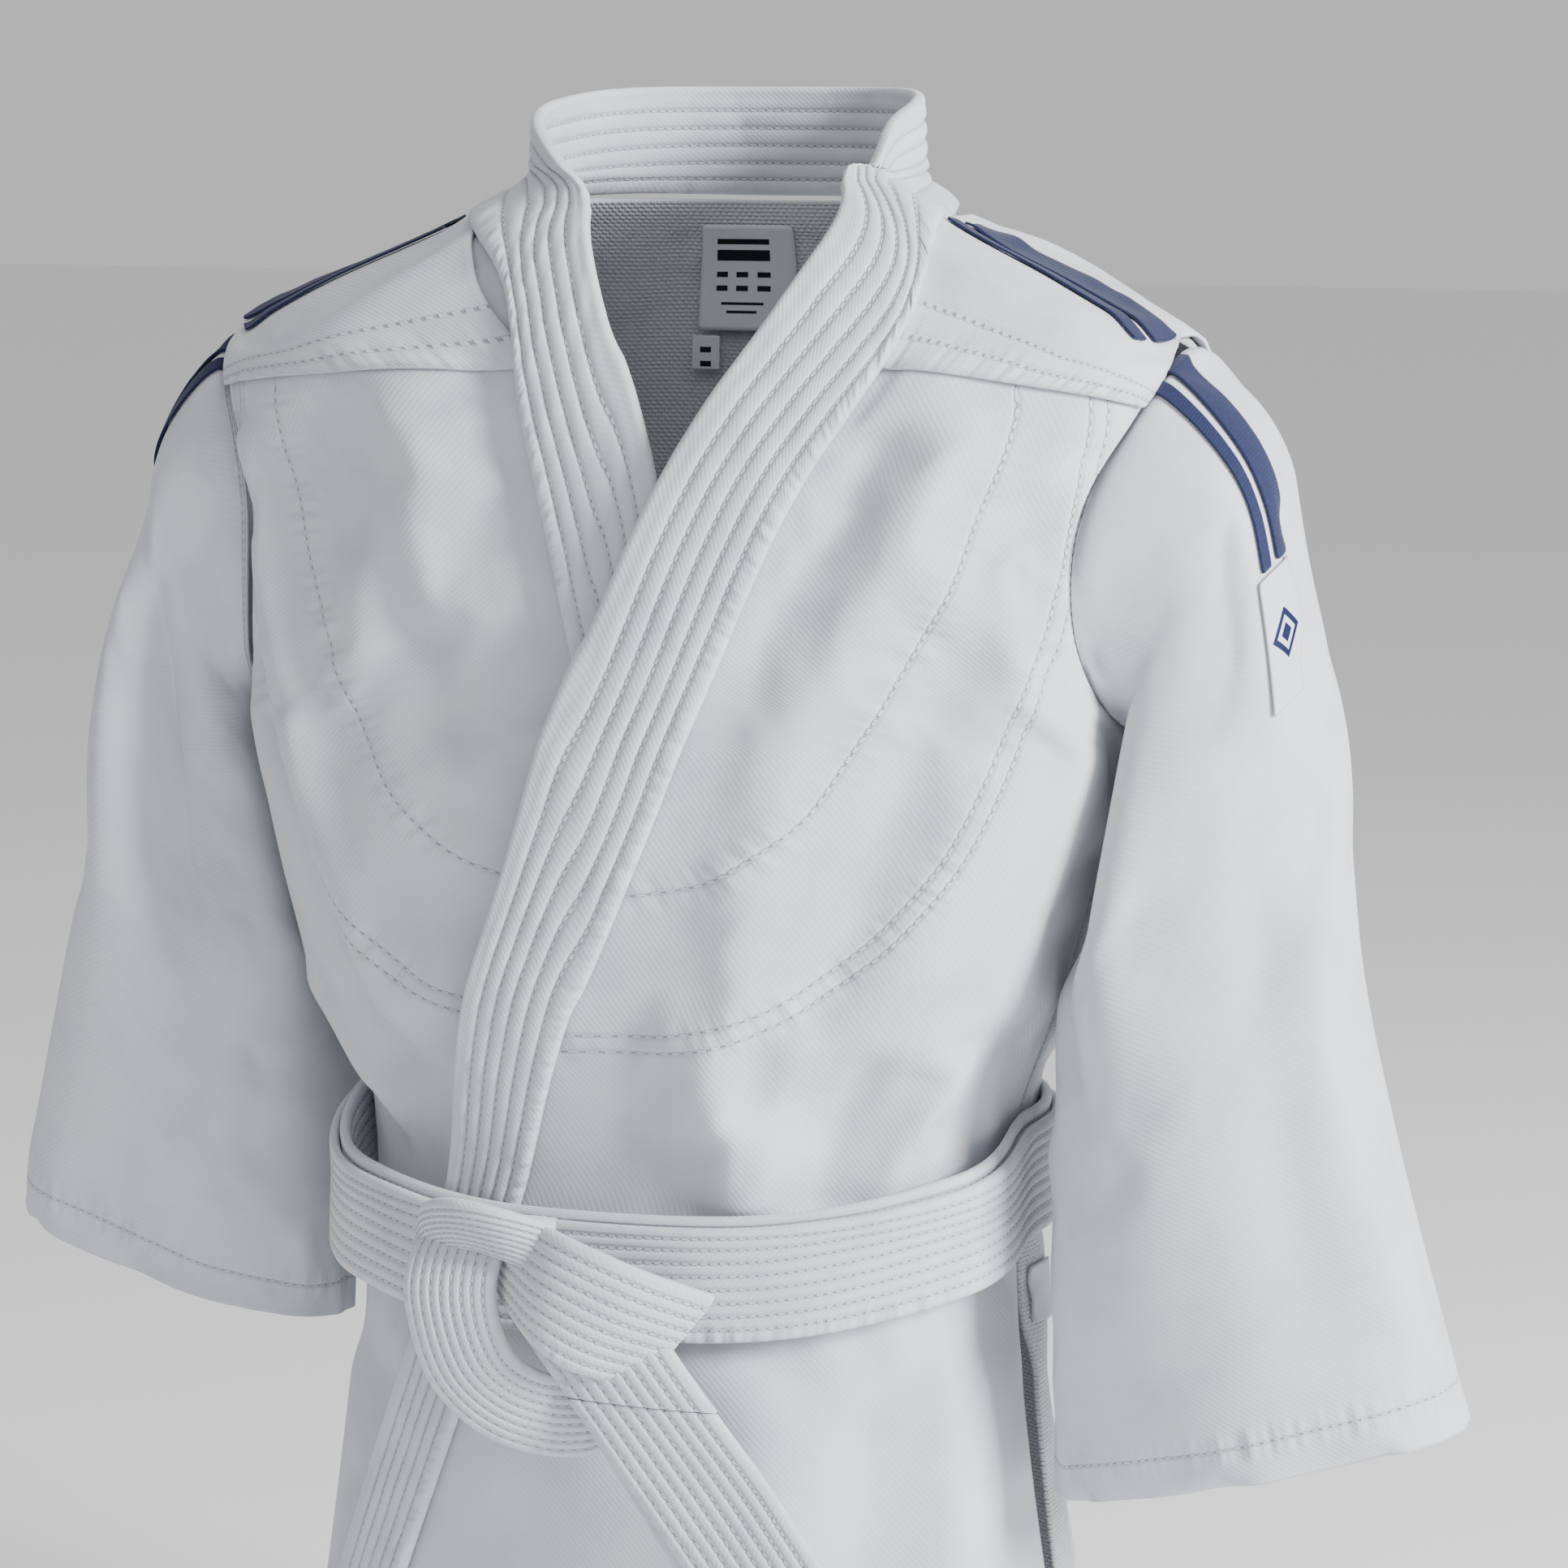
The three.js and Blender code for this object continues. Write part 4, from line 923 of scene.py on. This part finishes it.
def ripple(x, y, size, seed):
    """Gentle unevenness between -1 and 1, from a few waves in seeded directions."""
    chance = np.random.default_rng(seed)
    total = 0
    for _ in range(7):
        turn, phase = chance.uniform(0, 2 * np.pi), chance.uniform(0, 2 * np.pi)
        pitch = size * chance.uniform(0.6, 1.6)
        total = total + np.sin((x * np.cos(turn) + y * np.sin(turn)) * 2 * np.pi / pitch + phase)
    return total / 4


def band_ring():
    """Across the band and back underneath: share of the width, and height from 0 below to 1 on top."""
    channels = np.linspace(0, 0.94, LAPEL_CHANNELS * 5 + 1)
    edge = [0.965, 0.985, 0.997, 1.0, 0.99, 0.96]
    share = np.concatenate([channels, edge, channels[::-1], [0]])
    height = np.concatenate([channels * 0 + 1, [0.97, 0.87, 0.66, 0.35, 0.14, 0.02], channels * 0, [1]])
    return share, height


def band_points(side, s, share, height):
    line = NECKLINES[side]
    angle = mix(smooth_table(line, s, 1), smooth_table(line, s, 3), share)
    z = mix(smooth_table(line, s, 2), smooth_table(line, s, 4), share)
    channel = np.abs(np.sin(np.pi * LAPEL_CHANNELS * share / 0.94)) ** 0.6 * (share < 0.94)
    x, y = s * 0.42, share * BAND_WIDTH
    pucker = ripple(x + 0.35 * y, 0.25 * y, 9 * MM, 5) * channel
    face = (height > 0.9) * 1.0 - (height < 0.01)
    quilt = (0.9 * (channel - 1) * (share < 0.94) + 0.38 * pucker) * MM * face
    wave = ripple(x, 0.2 * y, 90 * MM, 9) * 0.7 * MM * rise(s, 0.25, 0.4)
    out = LAPEL_BASE + LAPEL_THICKNESS * height + quilt
    lift = 1.5 * MM * share * bump(s, 0.45, 0.2)
    point = on_form(angle, z, out + front_out(side, angle) + lift + wave * share * 0.6)
    point[..., 0] *= side
    return point


def band_material(name, colour, rows):
    return twill_material(name, colour, TWILL_PITCH, [("rows", tuple(rows))])


lapel_rows = [BAND_WIDTH * 0.94 * k / LAPEL_CHANNELS for k in range(1, LAPEL_CHANNELS)]
lapel_cotton = band_material("bleached cotton twill, quilted collar", COTTON_WHITE, lapel_rows)
share, height = band_ring()
BAND_STEPS = 300
COLLAR_RUN = 1.06
along = np.linspace(-COLLAR_RUN, COLLAR_RUN, BAND_STEPS)
halves = []
for number, s in enumerate(along):
    halves.append(band_points(-1 if s < 0 else 1, np.full(share.shape, abs(s)), share, height))
points = np.array(halves)
lengths = np.cumsum(np.concatenate([[0], np.linalg.norm(np.diff(points[:, 15], axis=0), axis=-1)]))
maps = {"UVMap": np.stack([np.tile(share * BAND_WIDTH, (BAND_STEPS, 1)),
                           np.tile(lengths[:, None], (1, len(share)))], -1),
        "rows": np.stack([np.tile(lengths[:, None], (1, len(share))),
                          np.tile(np.where((height > 0.9) | (height < 0.01), share, 9) * BAND_WIDTH,
                                  (BAND_STEPS, 1))], -1)}


def band_piece(name, points, maps, material):
    """A closed band from a grid that goes once round its section, with its two ends filled."""
    bm = grid_mesh(points, maps)
    bmesh.ops.remove_doubles(bm, verts=bm.verts, dist=1e-6)
    bmesh.ops.holes_fill(bm, edges=[e for e in bm.edges if e.is_boundary], sides=0)
    bmesh.ops.recalc_face_normals(bm, faces=bm.faces)
    return new_object(name, bm, material)


band = band_piece("neck_band", points, maps, lapel_cotton)
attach(band, "jacket")
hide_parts("collar_cover_back", "collar_core_back", "lapel_cover_left", "lapel_cover_right",
            "lapel_core_left", "lapel_core_right")

SKIRT_STEPS = 90
for side, name, flap in ((1, "left", "outer_front_skirt"), (-1, "right", "inner_front_skirt")):
    run = np.linspace(1.03, 1.399, SKIRT_STEPS)
    points = np.array([band_points(side, np.full(share.shape, s), share, height) for s in run])
    lengths = np.cumsum(np.concatenate([[0], np.linalg.norm(np.diff(points[:, 15], axis=0), axis=-1)]))
    tall = np.tile(lengths[:, None], (1, len(share)))
    maps = {"UVMap": np.stack([np.tile(share * BAND_WIDTH, (SKIRT_STEPS, 1)), tall], -1),
            "rows": np.stack([tall, np.tile(np.where((height > 0.9) | (height < 0.01), share, 9) * BAND_WIDTH,
                                            (SKIRT_STEPS, 1))], -1)}
    band = band_piece(name + "_skirt_band", points, maps, lapel_cotton)
    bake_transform(band)
    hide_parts("skirt_lapel_" + name)

# ---- Neck label and size tab ---------------------------------------------------------------------
# A woven satin label sewn inside the back below the collar, with a size tab under it. Their print is
# plain bars and dots, with no words.
LABEL_WIDTH = 30 * MM
LABEL_HEIGHT = 38 * MM


def inside_back(middle, top, width, height, steps):
    u, v = grid_parameters(steps, steps)
    z = top - height * v
    angle = 270 + ((middle + width * (u - 0.5)) / level(z, 1)) * 52
    return on_form(angle, z, -0.9 * MM + 0 * u), np.stack([(u - 0.5) * width, (v - 0.5) * height], -1)


def bar(tree, x, y, low, high):
    """1 inside a rectangle of the label, given its corners in mm."""
    inside = None
    for value, limit, sign in ((x, low[0], 1), (x, high[0], -1), (y, low[1], 1), (y, high[1], -1)):
        edge = maths(tree, "GREATER_THAN", maths(tree, "MULTIPLY", value, float(sign)), limit * MM * sign)
        inside = edge if inside is None else maths(tree, "MULTIPLY", inside, edge)
    return inside


label_satin, tree, shader = new_material("woven satin label with plain bars", "#c9cbd0", 0.55)
split, vector = thread_coordinates(tree)
ink = None
for low, high in (((-9, -14), (9, -12)), ((-9, -10), (9, -6)), ((-9, -2), (-5, 0)), ((-2, -2), (2, 0)),
                  ((5, -2), (9, 0)), ((-9, 3), (-5, 5)), ((-2, 3), (2, 5)), ((5, 3), (9, 5)),
                  ((-7, 9), (7, 10)),
                  ((-5, 12), (5, 13))):
    block = bar(tree, split.outputs["X"], split.outputs["Y"], low, high)
    ink = block if ink is None else maths(tree, "MAXIMUM", ink, block)
threads, _ = weave_height(tree, vector, 0.8 * MM, 1500)
finish_cotton(tree, shader, maths(tree, "MULTIPLY", threads, 0.05), 1.0 * MM, [(ink, "#15161c")], 0.6)
for name, node, place in (("neck_label_cloth", "neck_label", (-14 * MM, -6 * MM, LABEL_WIDTH, LABEL_HEIGHT)),
                          ("size_tab_cloth", "size_tab", (-26 * MM, -46 * MM, 10 * MM, 12 * MM))):
    points, run = inside_back(*place, 12)
    label = sheet_piece(name, points, {"UVMap": run}, label_satin, 0.5 * MM, 1)
    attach(label, "jacket")
    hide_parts(node)

# ---- Shoulder tapes and patch --------------------------------------------------------------------
# One broad and one narrow navy tape run over each shoulder and down the sleeve, with a plain woven
# patch below them on the left sleeve. The tapes are ribbed across; the ribs are drawn at 1.2 mm.
BROAD_TAPE = 13 * MM
NARROW_TAPE = 5 * MM
TAPE_THICKNESS = 0.8 * MM
RIB_PITCH = 1.2 * MM
NAVY = "#07153c"
tape_cotton, tree, shader = new_material("navy ribbed cotton tape", NAVY, 0.75, 0.1)
split, vector = thread_coordinates(tree)
rib = maths(tree, "SINE", maths(tree, "MULTIPLY", split.outputs["Y"], 2 * math.pi / RIB_PITCH))
fleck = add_node(tree, "ShaderNodeTexNoise", {}, {"Scale": 700.0, "Detail": 3.0}, {"Vector": vector})
finish_cotton(tree, shader, maths(tree, "MULTIPLY", rib, 0.06), 1.0 * MM,
              [(soft_step(tree, fleck.outputs["Fac"], 0.5, 0.8), "#10225a")], 0.7)

for side, name in ((1, "left"), (-1, "right")):
    for kind, width, offset in (("broad", BROAD_TAPE, 0), ("narrow", NARROW_TAPE, 13 * MM)):
        u, v = grid_parameters(6, 30)
        z = mix(-8 * MM, SHOULDER_POINT + 1.5 * MM, v)
        across = offset + width * (u - 0.5)
        angle = 10 + across / level(z, 2) * 60
        points = on_cloth(name, side, angle, z - 0.1 * across,
                          FABRIC + 1.9 * MM + YOKE_LAYER + TAPE_THICKNESS)
        on_shoulder = sheet_piece(name + "_" + kind + "_shoulder_tape", points, {"UVMap": cloth_uv(points)},
                                  tape_cotton, TAPE_THICKNESS, 1)
        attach(on_shoulder, "jacket")
        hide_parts("shoulder_tape_" + kind + "_" + name)
        sleeve = sleeves[name]
        outward = grid_normals(sleeve, side)
        turn = 0.06 + across / 0.33
        down = mix(0.018, 0.215, v) ** (1 / 1.15)
        tape_lift = TAPE_THICKNESS + 0.5 * MM
        points = sample(sleeve, turn + 0.5, down) + sample(outward, turn + 0.5, down) * tape_lift
        on_sleeve = sheet_piece(name + "_" + kind + "_sleeve_tape", points, {"UVMap": cloth_uv(points)},
                                tape_cotton, TAPE_THICKNESS, 1)
        bend_with_arm(on_sleeve)
        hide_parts("sleeve_tape_" + kind + "_" + name)

patch_satin, tree, shader = new_material("woven patch with a plain lozenge", "#c3c7cf", 0.6)
split, vector = thread_coordinates(tree)
spread = maths(tree, "ADD", maths(tree, "ABSOLUTE", split.outputs["X"]),
               maths(tree, "ABSOLUTE", split.outputs["Y"]))
ring = maths(tree, "ABSOLUTE", maths(tree, "SUBTRACT", spread, 7 * MM))
mark = maths(tree, "MAXIMUM", soft_step(tree, ring, 1.5 * MM, 1.2 * MM),
             soft_step(tree, spread, 3.4 * MM, 3.1 * MM))
threads, _ = weave_height(tree, vector, 0.8 * MM, 1500)
finish_cotton(tree, shader, maths(tree, "MULTIPLY", threads, 0.05), 1.0 * MM, [(mark, NAVY)], 0.6)
u, v = grid_parameters(14, 18)
turn, down = mix(0.05, 0.115, u), mix(0.22, 0.34, v) ** (1 / 1.15)
outward = grid_normals(sleeves["left"], 1)
points = sample(sleeves["left"], turn + 0.5, down) + sample(outward, turn + 0.5, down) * 1.3 * MM
run = cloth_uv(points)
patch = sheet_piece("sleeve_patch_cloth", points, {"UVMap": run - run[9, 7]}, patch_satin, 0.8 * MM, 1)
bend_with_arm(patch)
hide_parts("sleeve_patch")

# ---- Vent tabs -----------------------------------------------------------------------------------
# Small squares of cloth that stop the side vents from tearing, sewn at the top of each.
for side, name in ((1, "left"), (-1, "right")):
    u, v = grid_parameters(10, 10)
    angle = mix(348, 357, u)
    z = belt_level(angle) - BELT_WIDTH / 2 - 12 * MM - 2 * MM - 20 * MM * v
    v_back = np.interp(-z, [WAIST_DROP, BODY_LENGTH], [0.62, 1])
    a = np.interp(v_back, np.linspace(0, 1, BACK_DOWN + 1), back_shift[1])
    b = np.interp(v_back, np.linspace(0, 1, BACK_DOWN + 1), back_shift[2])
    u_back = (angle - a) / (b - a)
    u_back = u_back if side > 0 else 1 - u_back
    points = sample(back, u_back, v_back) + sample(grid_normals(back, 1), u_back, v_back) * 1.6 * MM
    tab = sheet_piece(name + "_vent_tab", points, {"UVMap": cloth_uv(points)}, plain_cotton, 1.0 * MM, 1)
    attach(tab, "back_skirt")
    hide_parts("vent_tab_" + name)

# ---- Belt ----------------------------------------------------------------------------------------
# A quilted cotton belt, twice round the waist. Eight rows of stitching run its whole length. The turns
# lie one on the other and dip to the knot in front.
BELT_THICKNESS = 3.6 * MM
BELT_CHANNELS = 9
BELT_STACK = 2 * LAPEL_STACK + 1 * MM
belt_rows = [BELT_WIDTH * k / BELT_CHANNELS for k in range(1, BELT_CHANNELS)]
belt_cotton = twill_material("bleached cotton twill, quilted belt", COTTON_WHITE, TWILL_PITCH,
                             [("rows", tuple(belt_rows))])


def belt_ring(width=BELT_WIDTH, thickness=BELT_THICKNESS, channels=BELT_CHANNELS):
    """Once round the section of a quilted belt: distance across, and height over its middle."""
    a = np.linspace(-0.5, 0.5, channels * 4 + 1)
    quilt = np.abs(np.sin(np.pi * channels * (a + 0.5))) ** 0.6
    edge = 1 - np.abs(2 * a) ** 14
    high = thickness / 2 * (0.55 + 0.3 * edge + 0.25 * quilt * (0.3 + 0.7 * edge))
    across = np.concatenate([a, a[::-1], a[:1]]) * width
    return across, np.concatenate([high, -high[::-1], high[:1]])


def belt_turn(name, node, tilt, lift):
    across, height = belt_ring()
    steps = 260
    turns = np.linspace(0, 1, steps)
    angle = np.tile((turns * 360)[:, None], (1, len(across)))
    wave = ripple(np.cos(np.radians(angle)) * 0.13, np.sin(np.radians(angle)) * 0.1, 80 * MM, 3)
    z = belt_level(angle) + tilt * np.cos(np.radians(angle - 20)) + lift + across + 0.8 * MM * wave
    forward = rise(angle, 1, 32) * (1 - rise(angle, 128, 172))
    out = mix(FABRIC + 1.4 * MM, BELT_STACK, forward)
    layer = 0 if node == "belt_inner_turn" else BELT_THICKNESS + 0.6 * MM
    points = on_form(angle, z, out + layer + BELT_THICKNESS / 2 + height)
    points[-1] = points[0]
    lengths = np.concatenate([[0], np.cumsum(np.linalg.norm(np.diff(points[:, 9], axis=0), axis=-1))])[:, None]
    tall = np.tile(lengths, (1, len(across)))
    maps = {"UVMap": np.stack([np.tile(across, (steps, 1)), tall], -1),
            "rows": np.stack([tall, np.tile(across + BELT_WIDTH / 2, (steps, 1))], -1)}
    turn = band_piece(name, points, maps, belt_cotton)
    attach(turn, "jacket")
    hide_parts(node)


belt_turn("belt_inner_wrap", "belt_inner_turn", 0.0, 3.5 * MM)
belt_turn("belt_outer_wrap", "belt_outer_turn", 0.0, 0.0)


def catmull(points, t):
    """A smooth path through rows of numbers, at shares t of its length in steps."""
    points = np.array(points, float)
    last = len(points) - 1
    x = np.clip(t, 0, 1) * last
    i = np.minimum(x.astype(int), last - 1)
    f = (x - i)[:, None]
    p0, p1 = points[np.maximum(i - 1, 0)], points[i]
    p2, p3 = points[i + 1], points[np.minimum(i + 2, last)]
    return 0.5 * (2 * p1 + (p2 - p0) * f + (2 * p0 - 5 * p1 + 4 * p2 - p3) * f ** 2
                  + (3 * p1 - p0 - 3 * p2 + p3) * f ** 3)


def belt_strap(name, rows, steps, cup=0.0, shear=0.0):
    """A length of the belt along rows of (x, y, z, width direction, width) in mm, cupped across."""
    rows = np.array(rows, float)
    t = np.linspace(0, 1, steps)
    centre = catmull(rows[:, :3], t) * MM
    side = catmull(rows[:, 3:6], t)
    width = catmull(rows[:, 6:7], t) * MM
    along = unit(np.gradient(centre, axis=0))
    side = unit(side)
    up = unit(np.cross(along, side))
    across, height = belt_ring(1.0)
    bend = cup * MM * (1 - (2 * across) ** 2)
    points = (centre[:, None] + side[:, None] * (across[None, :, None] * width[:, None])
              + up[:, None] * (height + bend)[None, :, None])
    lengths = np.concatenate([[0], np.cumsum(np.linalg.norm(np.diff(centre, axis=0), axis=-1))])[:, None]
    tall = np.tile(lengths, (1, len(across)))
    maps = {"UVMap": np.stack([np.tile(across * BELT_WIDTH, (steps, 1)), tall], -1),
            "rows": np.stack([tall, np.tile((across + 0.5) * BELT_WIDTH, (steps, 1))], -1)}
    return points, maps


# ---- Knot ----------------------------------------------------------------------------------------
# A flat square knot: one end stands as a loop on the right, the other crosses over it in a cap and
# wraps down round the tails. The belt is stiff, so it bends in rolls and leaves dark gaps.
KNOT = (-8, -109.6, -346)
TAIL_LENGTH = 180
TAIL_TOP = -388.8
TAIL_X = 38
TAIL_SLANT = 0.86
knot_straps = {
    "belt_loop": ("belt_knot_loop", [
        (-12, 6, 16, 1, 0, 0.1, 32), (-24, -8, 17, 1, 0, 0.1, 33), (-28, -17, 4, 1, 0, 0.05, 33),
        (-26, -19, -12, 1, 0, 0.08, 33), (-19, -17, -29, 0.9, 0, 0.4, 33), (-4, -12, -40, 0.65, 0, 0.75, 32),
        (16, -5, -42, 0.2, 0, 1, 29), (30, 2, -34, 0, 0, 1, 26)]),
    "belt_cap": ("belt_knot_cap", [
        (-45, -2, 6, 0.3, -0.3, 1, 18), (-38, -11, 17, -0.1, -0.5, 1, 20), (-23, -20, 22, -0.1, -0.5, 1, 20),
        (-6, -22, 20, 0, -0.3, 1, 19), (8, -16, 14, 0.1, -0.1, 1, 20)]),
    "belt_lobe": ("belt_knot_lobe", [
        (-13, -2, 8, 0.15, 0.3, 1, 28), (-3, -15, 8, 0.2, 0.1, 1, 33), (12, -24, 3, 0.35, 0, 1, 39),
        (30, -22, -5, 0.6, 0, 0.9, 43), (48, -9, -13, 0.7, 0, 0.8, 43)]),
}
hinge = np.array([TAIL_X - TAIL_SLANT * (-380 - TAIL_TOP) - KNOT[0], -13.6, -380 - KNOT[2]])
knot_straps["belt_end_root"] = (None, [
    tuple(hinge + np.array([-TAIL_SLANT * up, drop, up])) + (1, 0, 0, 52.7)
    for up, drop in ((30, 6), (20, 2), (10, 0.5), (0, 0))])
for name, (node, rows) in knot_straps.items():
    placed = [tuple(np.array(r[:3]) + KNOT) + tuple(r[3:]) for r in rows]
    points, maps = belt_strap(name, placed, 60, cup=2.0)
    strap = band_piece(name, points, maps, belt_cotton)
    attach(strap, "jacket")
    if node:
        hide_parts(node)

# ---- Tails ---------------------------------------------------------------------------------------
# The two ends of the belt hang from the knot, slanting to the wearer's left, one behind the other.
# Each end is cut square.
for name, node, body, x, slant, gap, length in (
        ("belt_front_end", "belt_tail_front", "front_belt_tail", TAIL_X, TAIL_SLANT, 15, TAIL_LENGTH),
        ("belt_rear_end", "belt_tail_rear", "rear_belt_tail", TAIL_X - 7, 0.79, 6, TAIL_LENGTH - 14)):
    slope = unit(np.array([slant, -0.06, -1.0]))
    lean = math.atan(slant)
    rows = []
    for f in np.linspace(-0.062, 1, 12):
        point = np.array([x, KNOT[1] - gap, TAIL_TOP]) + slope * length * f
        point[1] -= 4 * np.sin(np.pi * max(f, 0)) - 1.2 * np.sin(9 * max(f, 0))
        square = lean * rise(f, 0, 0.35)
        rows.append(tuple(point) + (math.cos(square), 0.1 * np.sin(4 * max(f, 0)), math.sin(square),
                                    40 / math.cos(lean - square)))
    points, maps = belt_strap(name, rows, 110, cup=0.6)
    tail_piece = band_piece(name, points, maps, belt_cotton)
    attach(tail_piece, body)
    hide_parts(node)
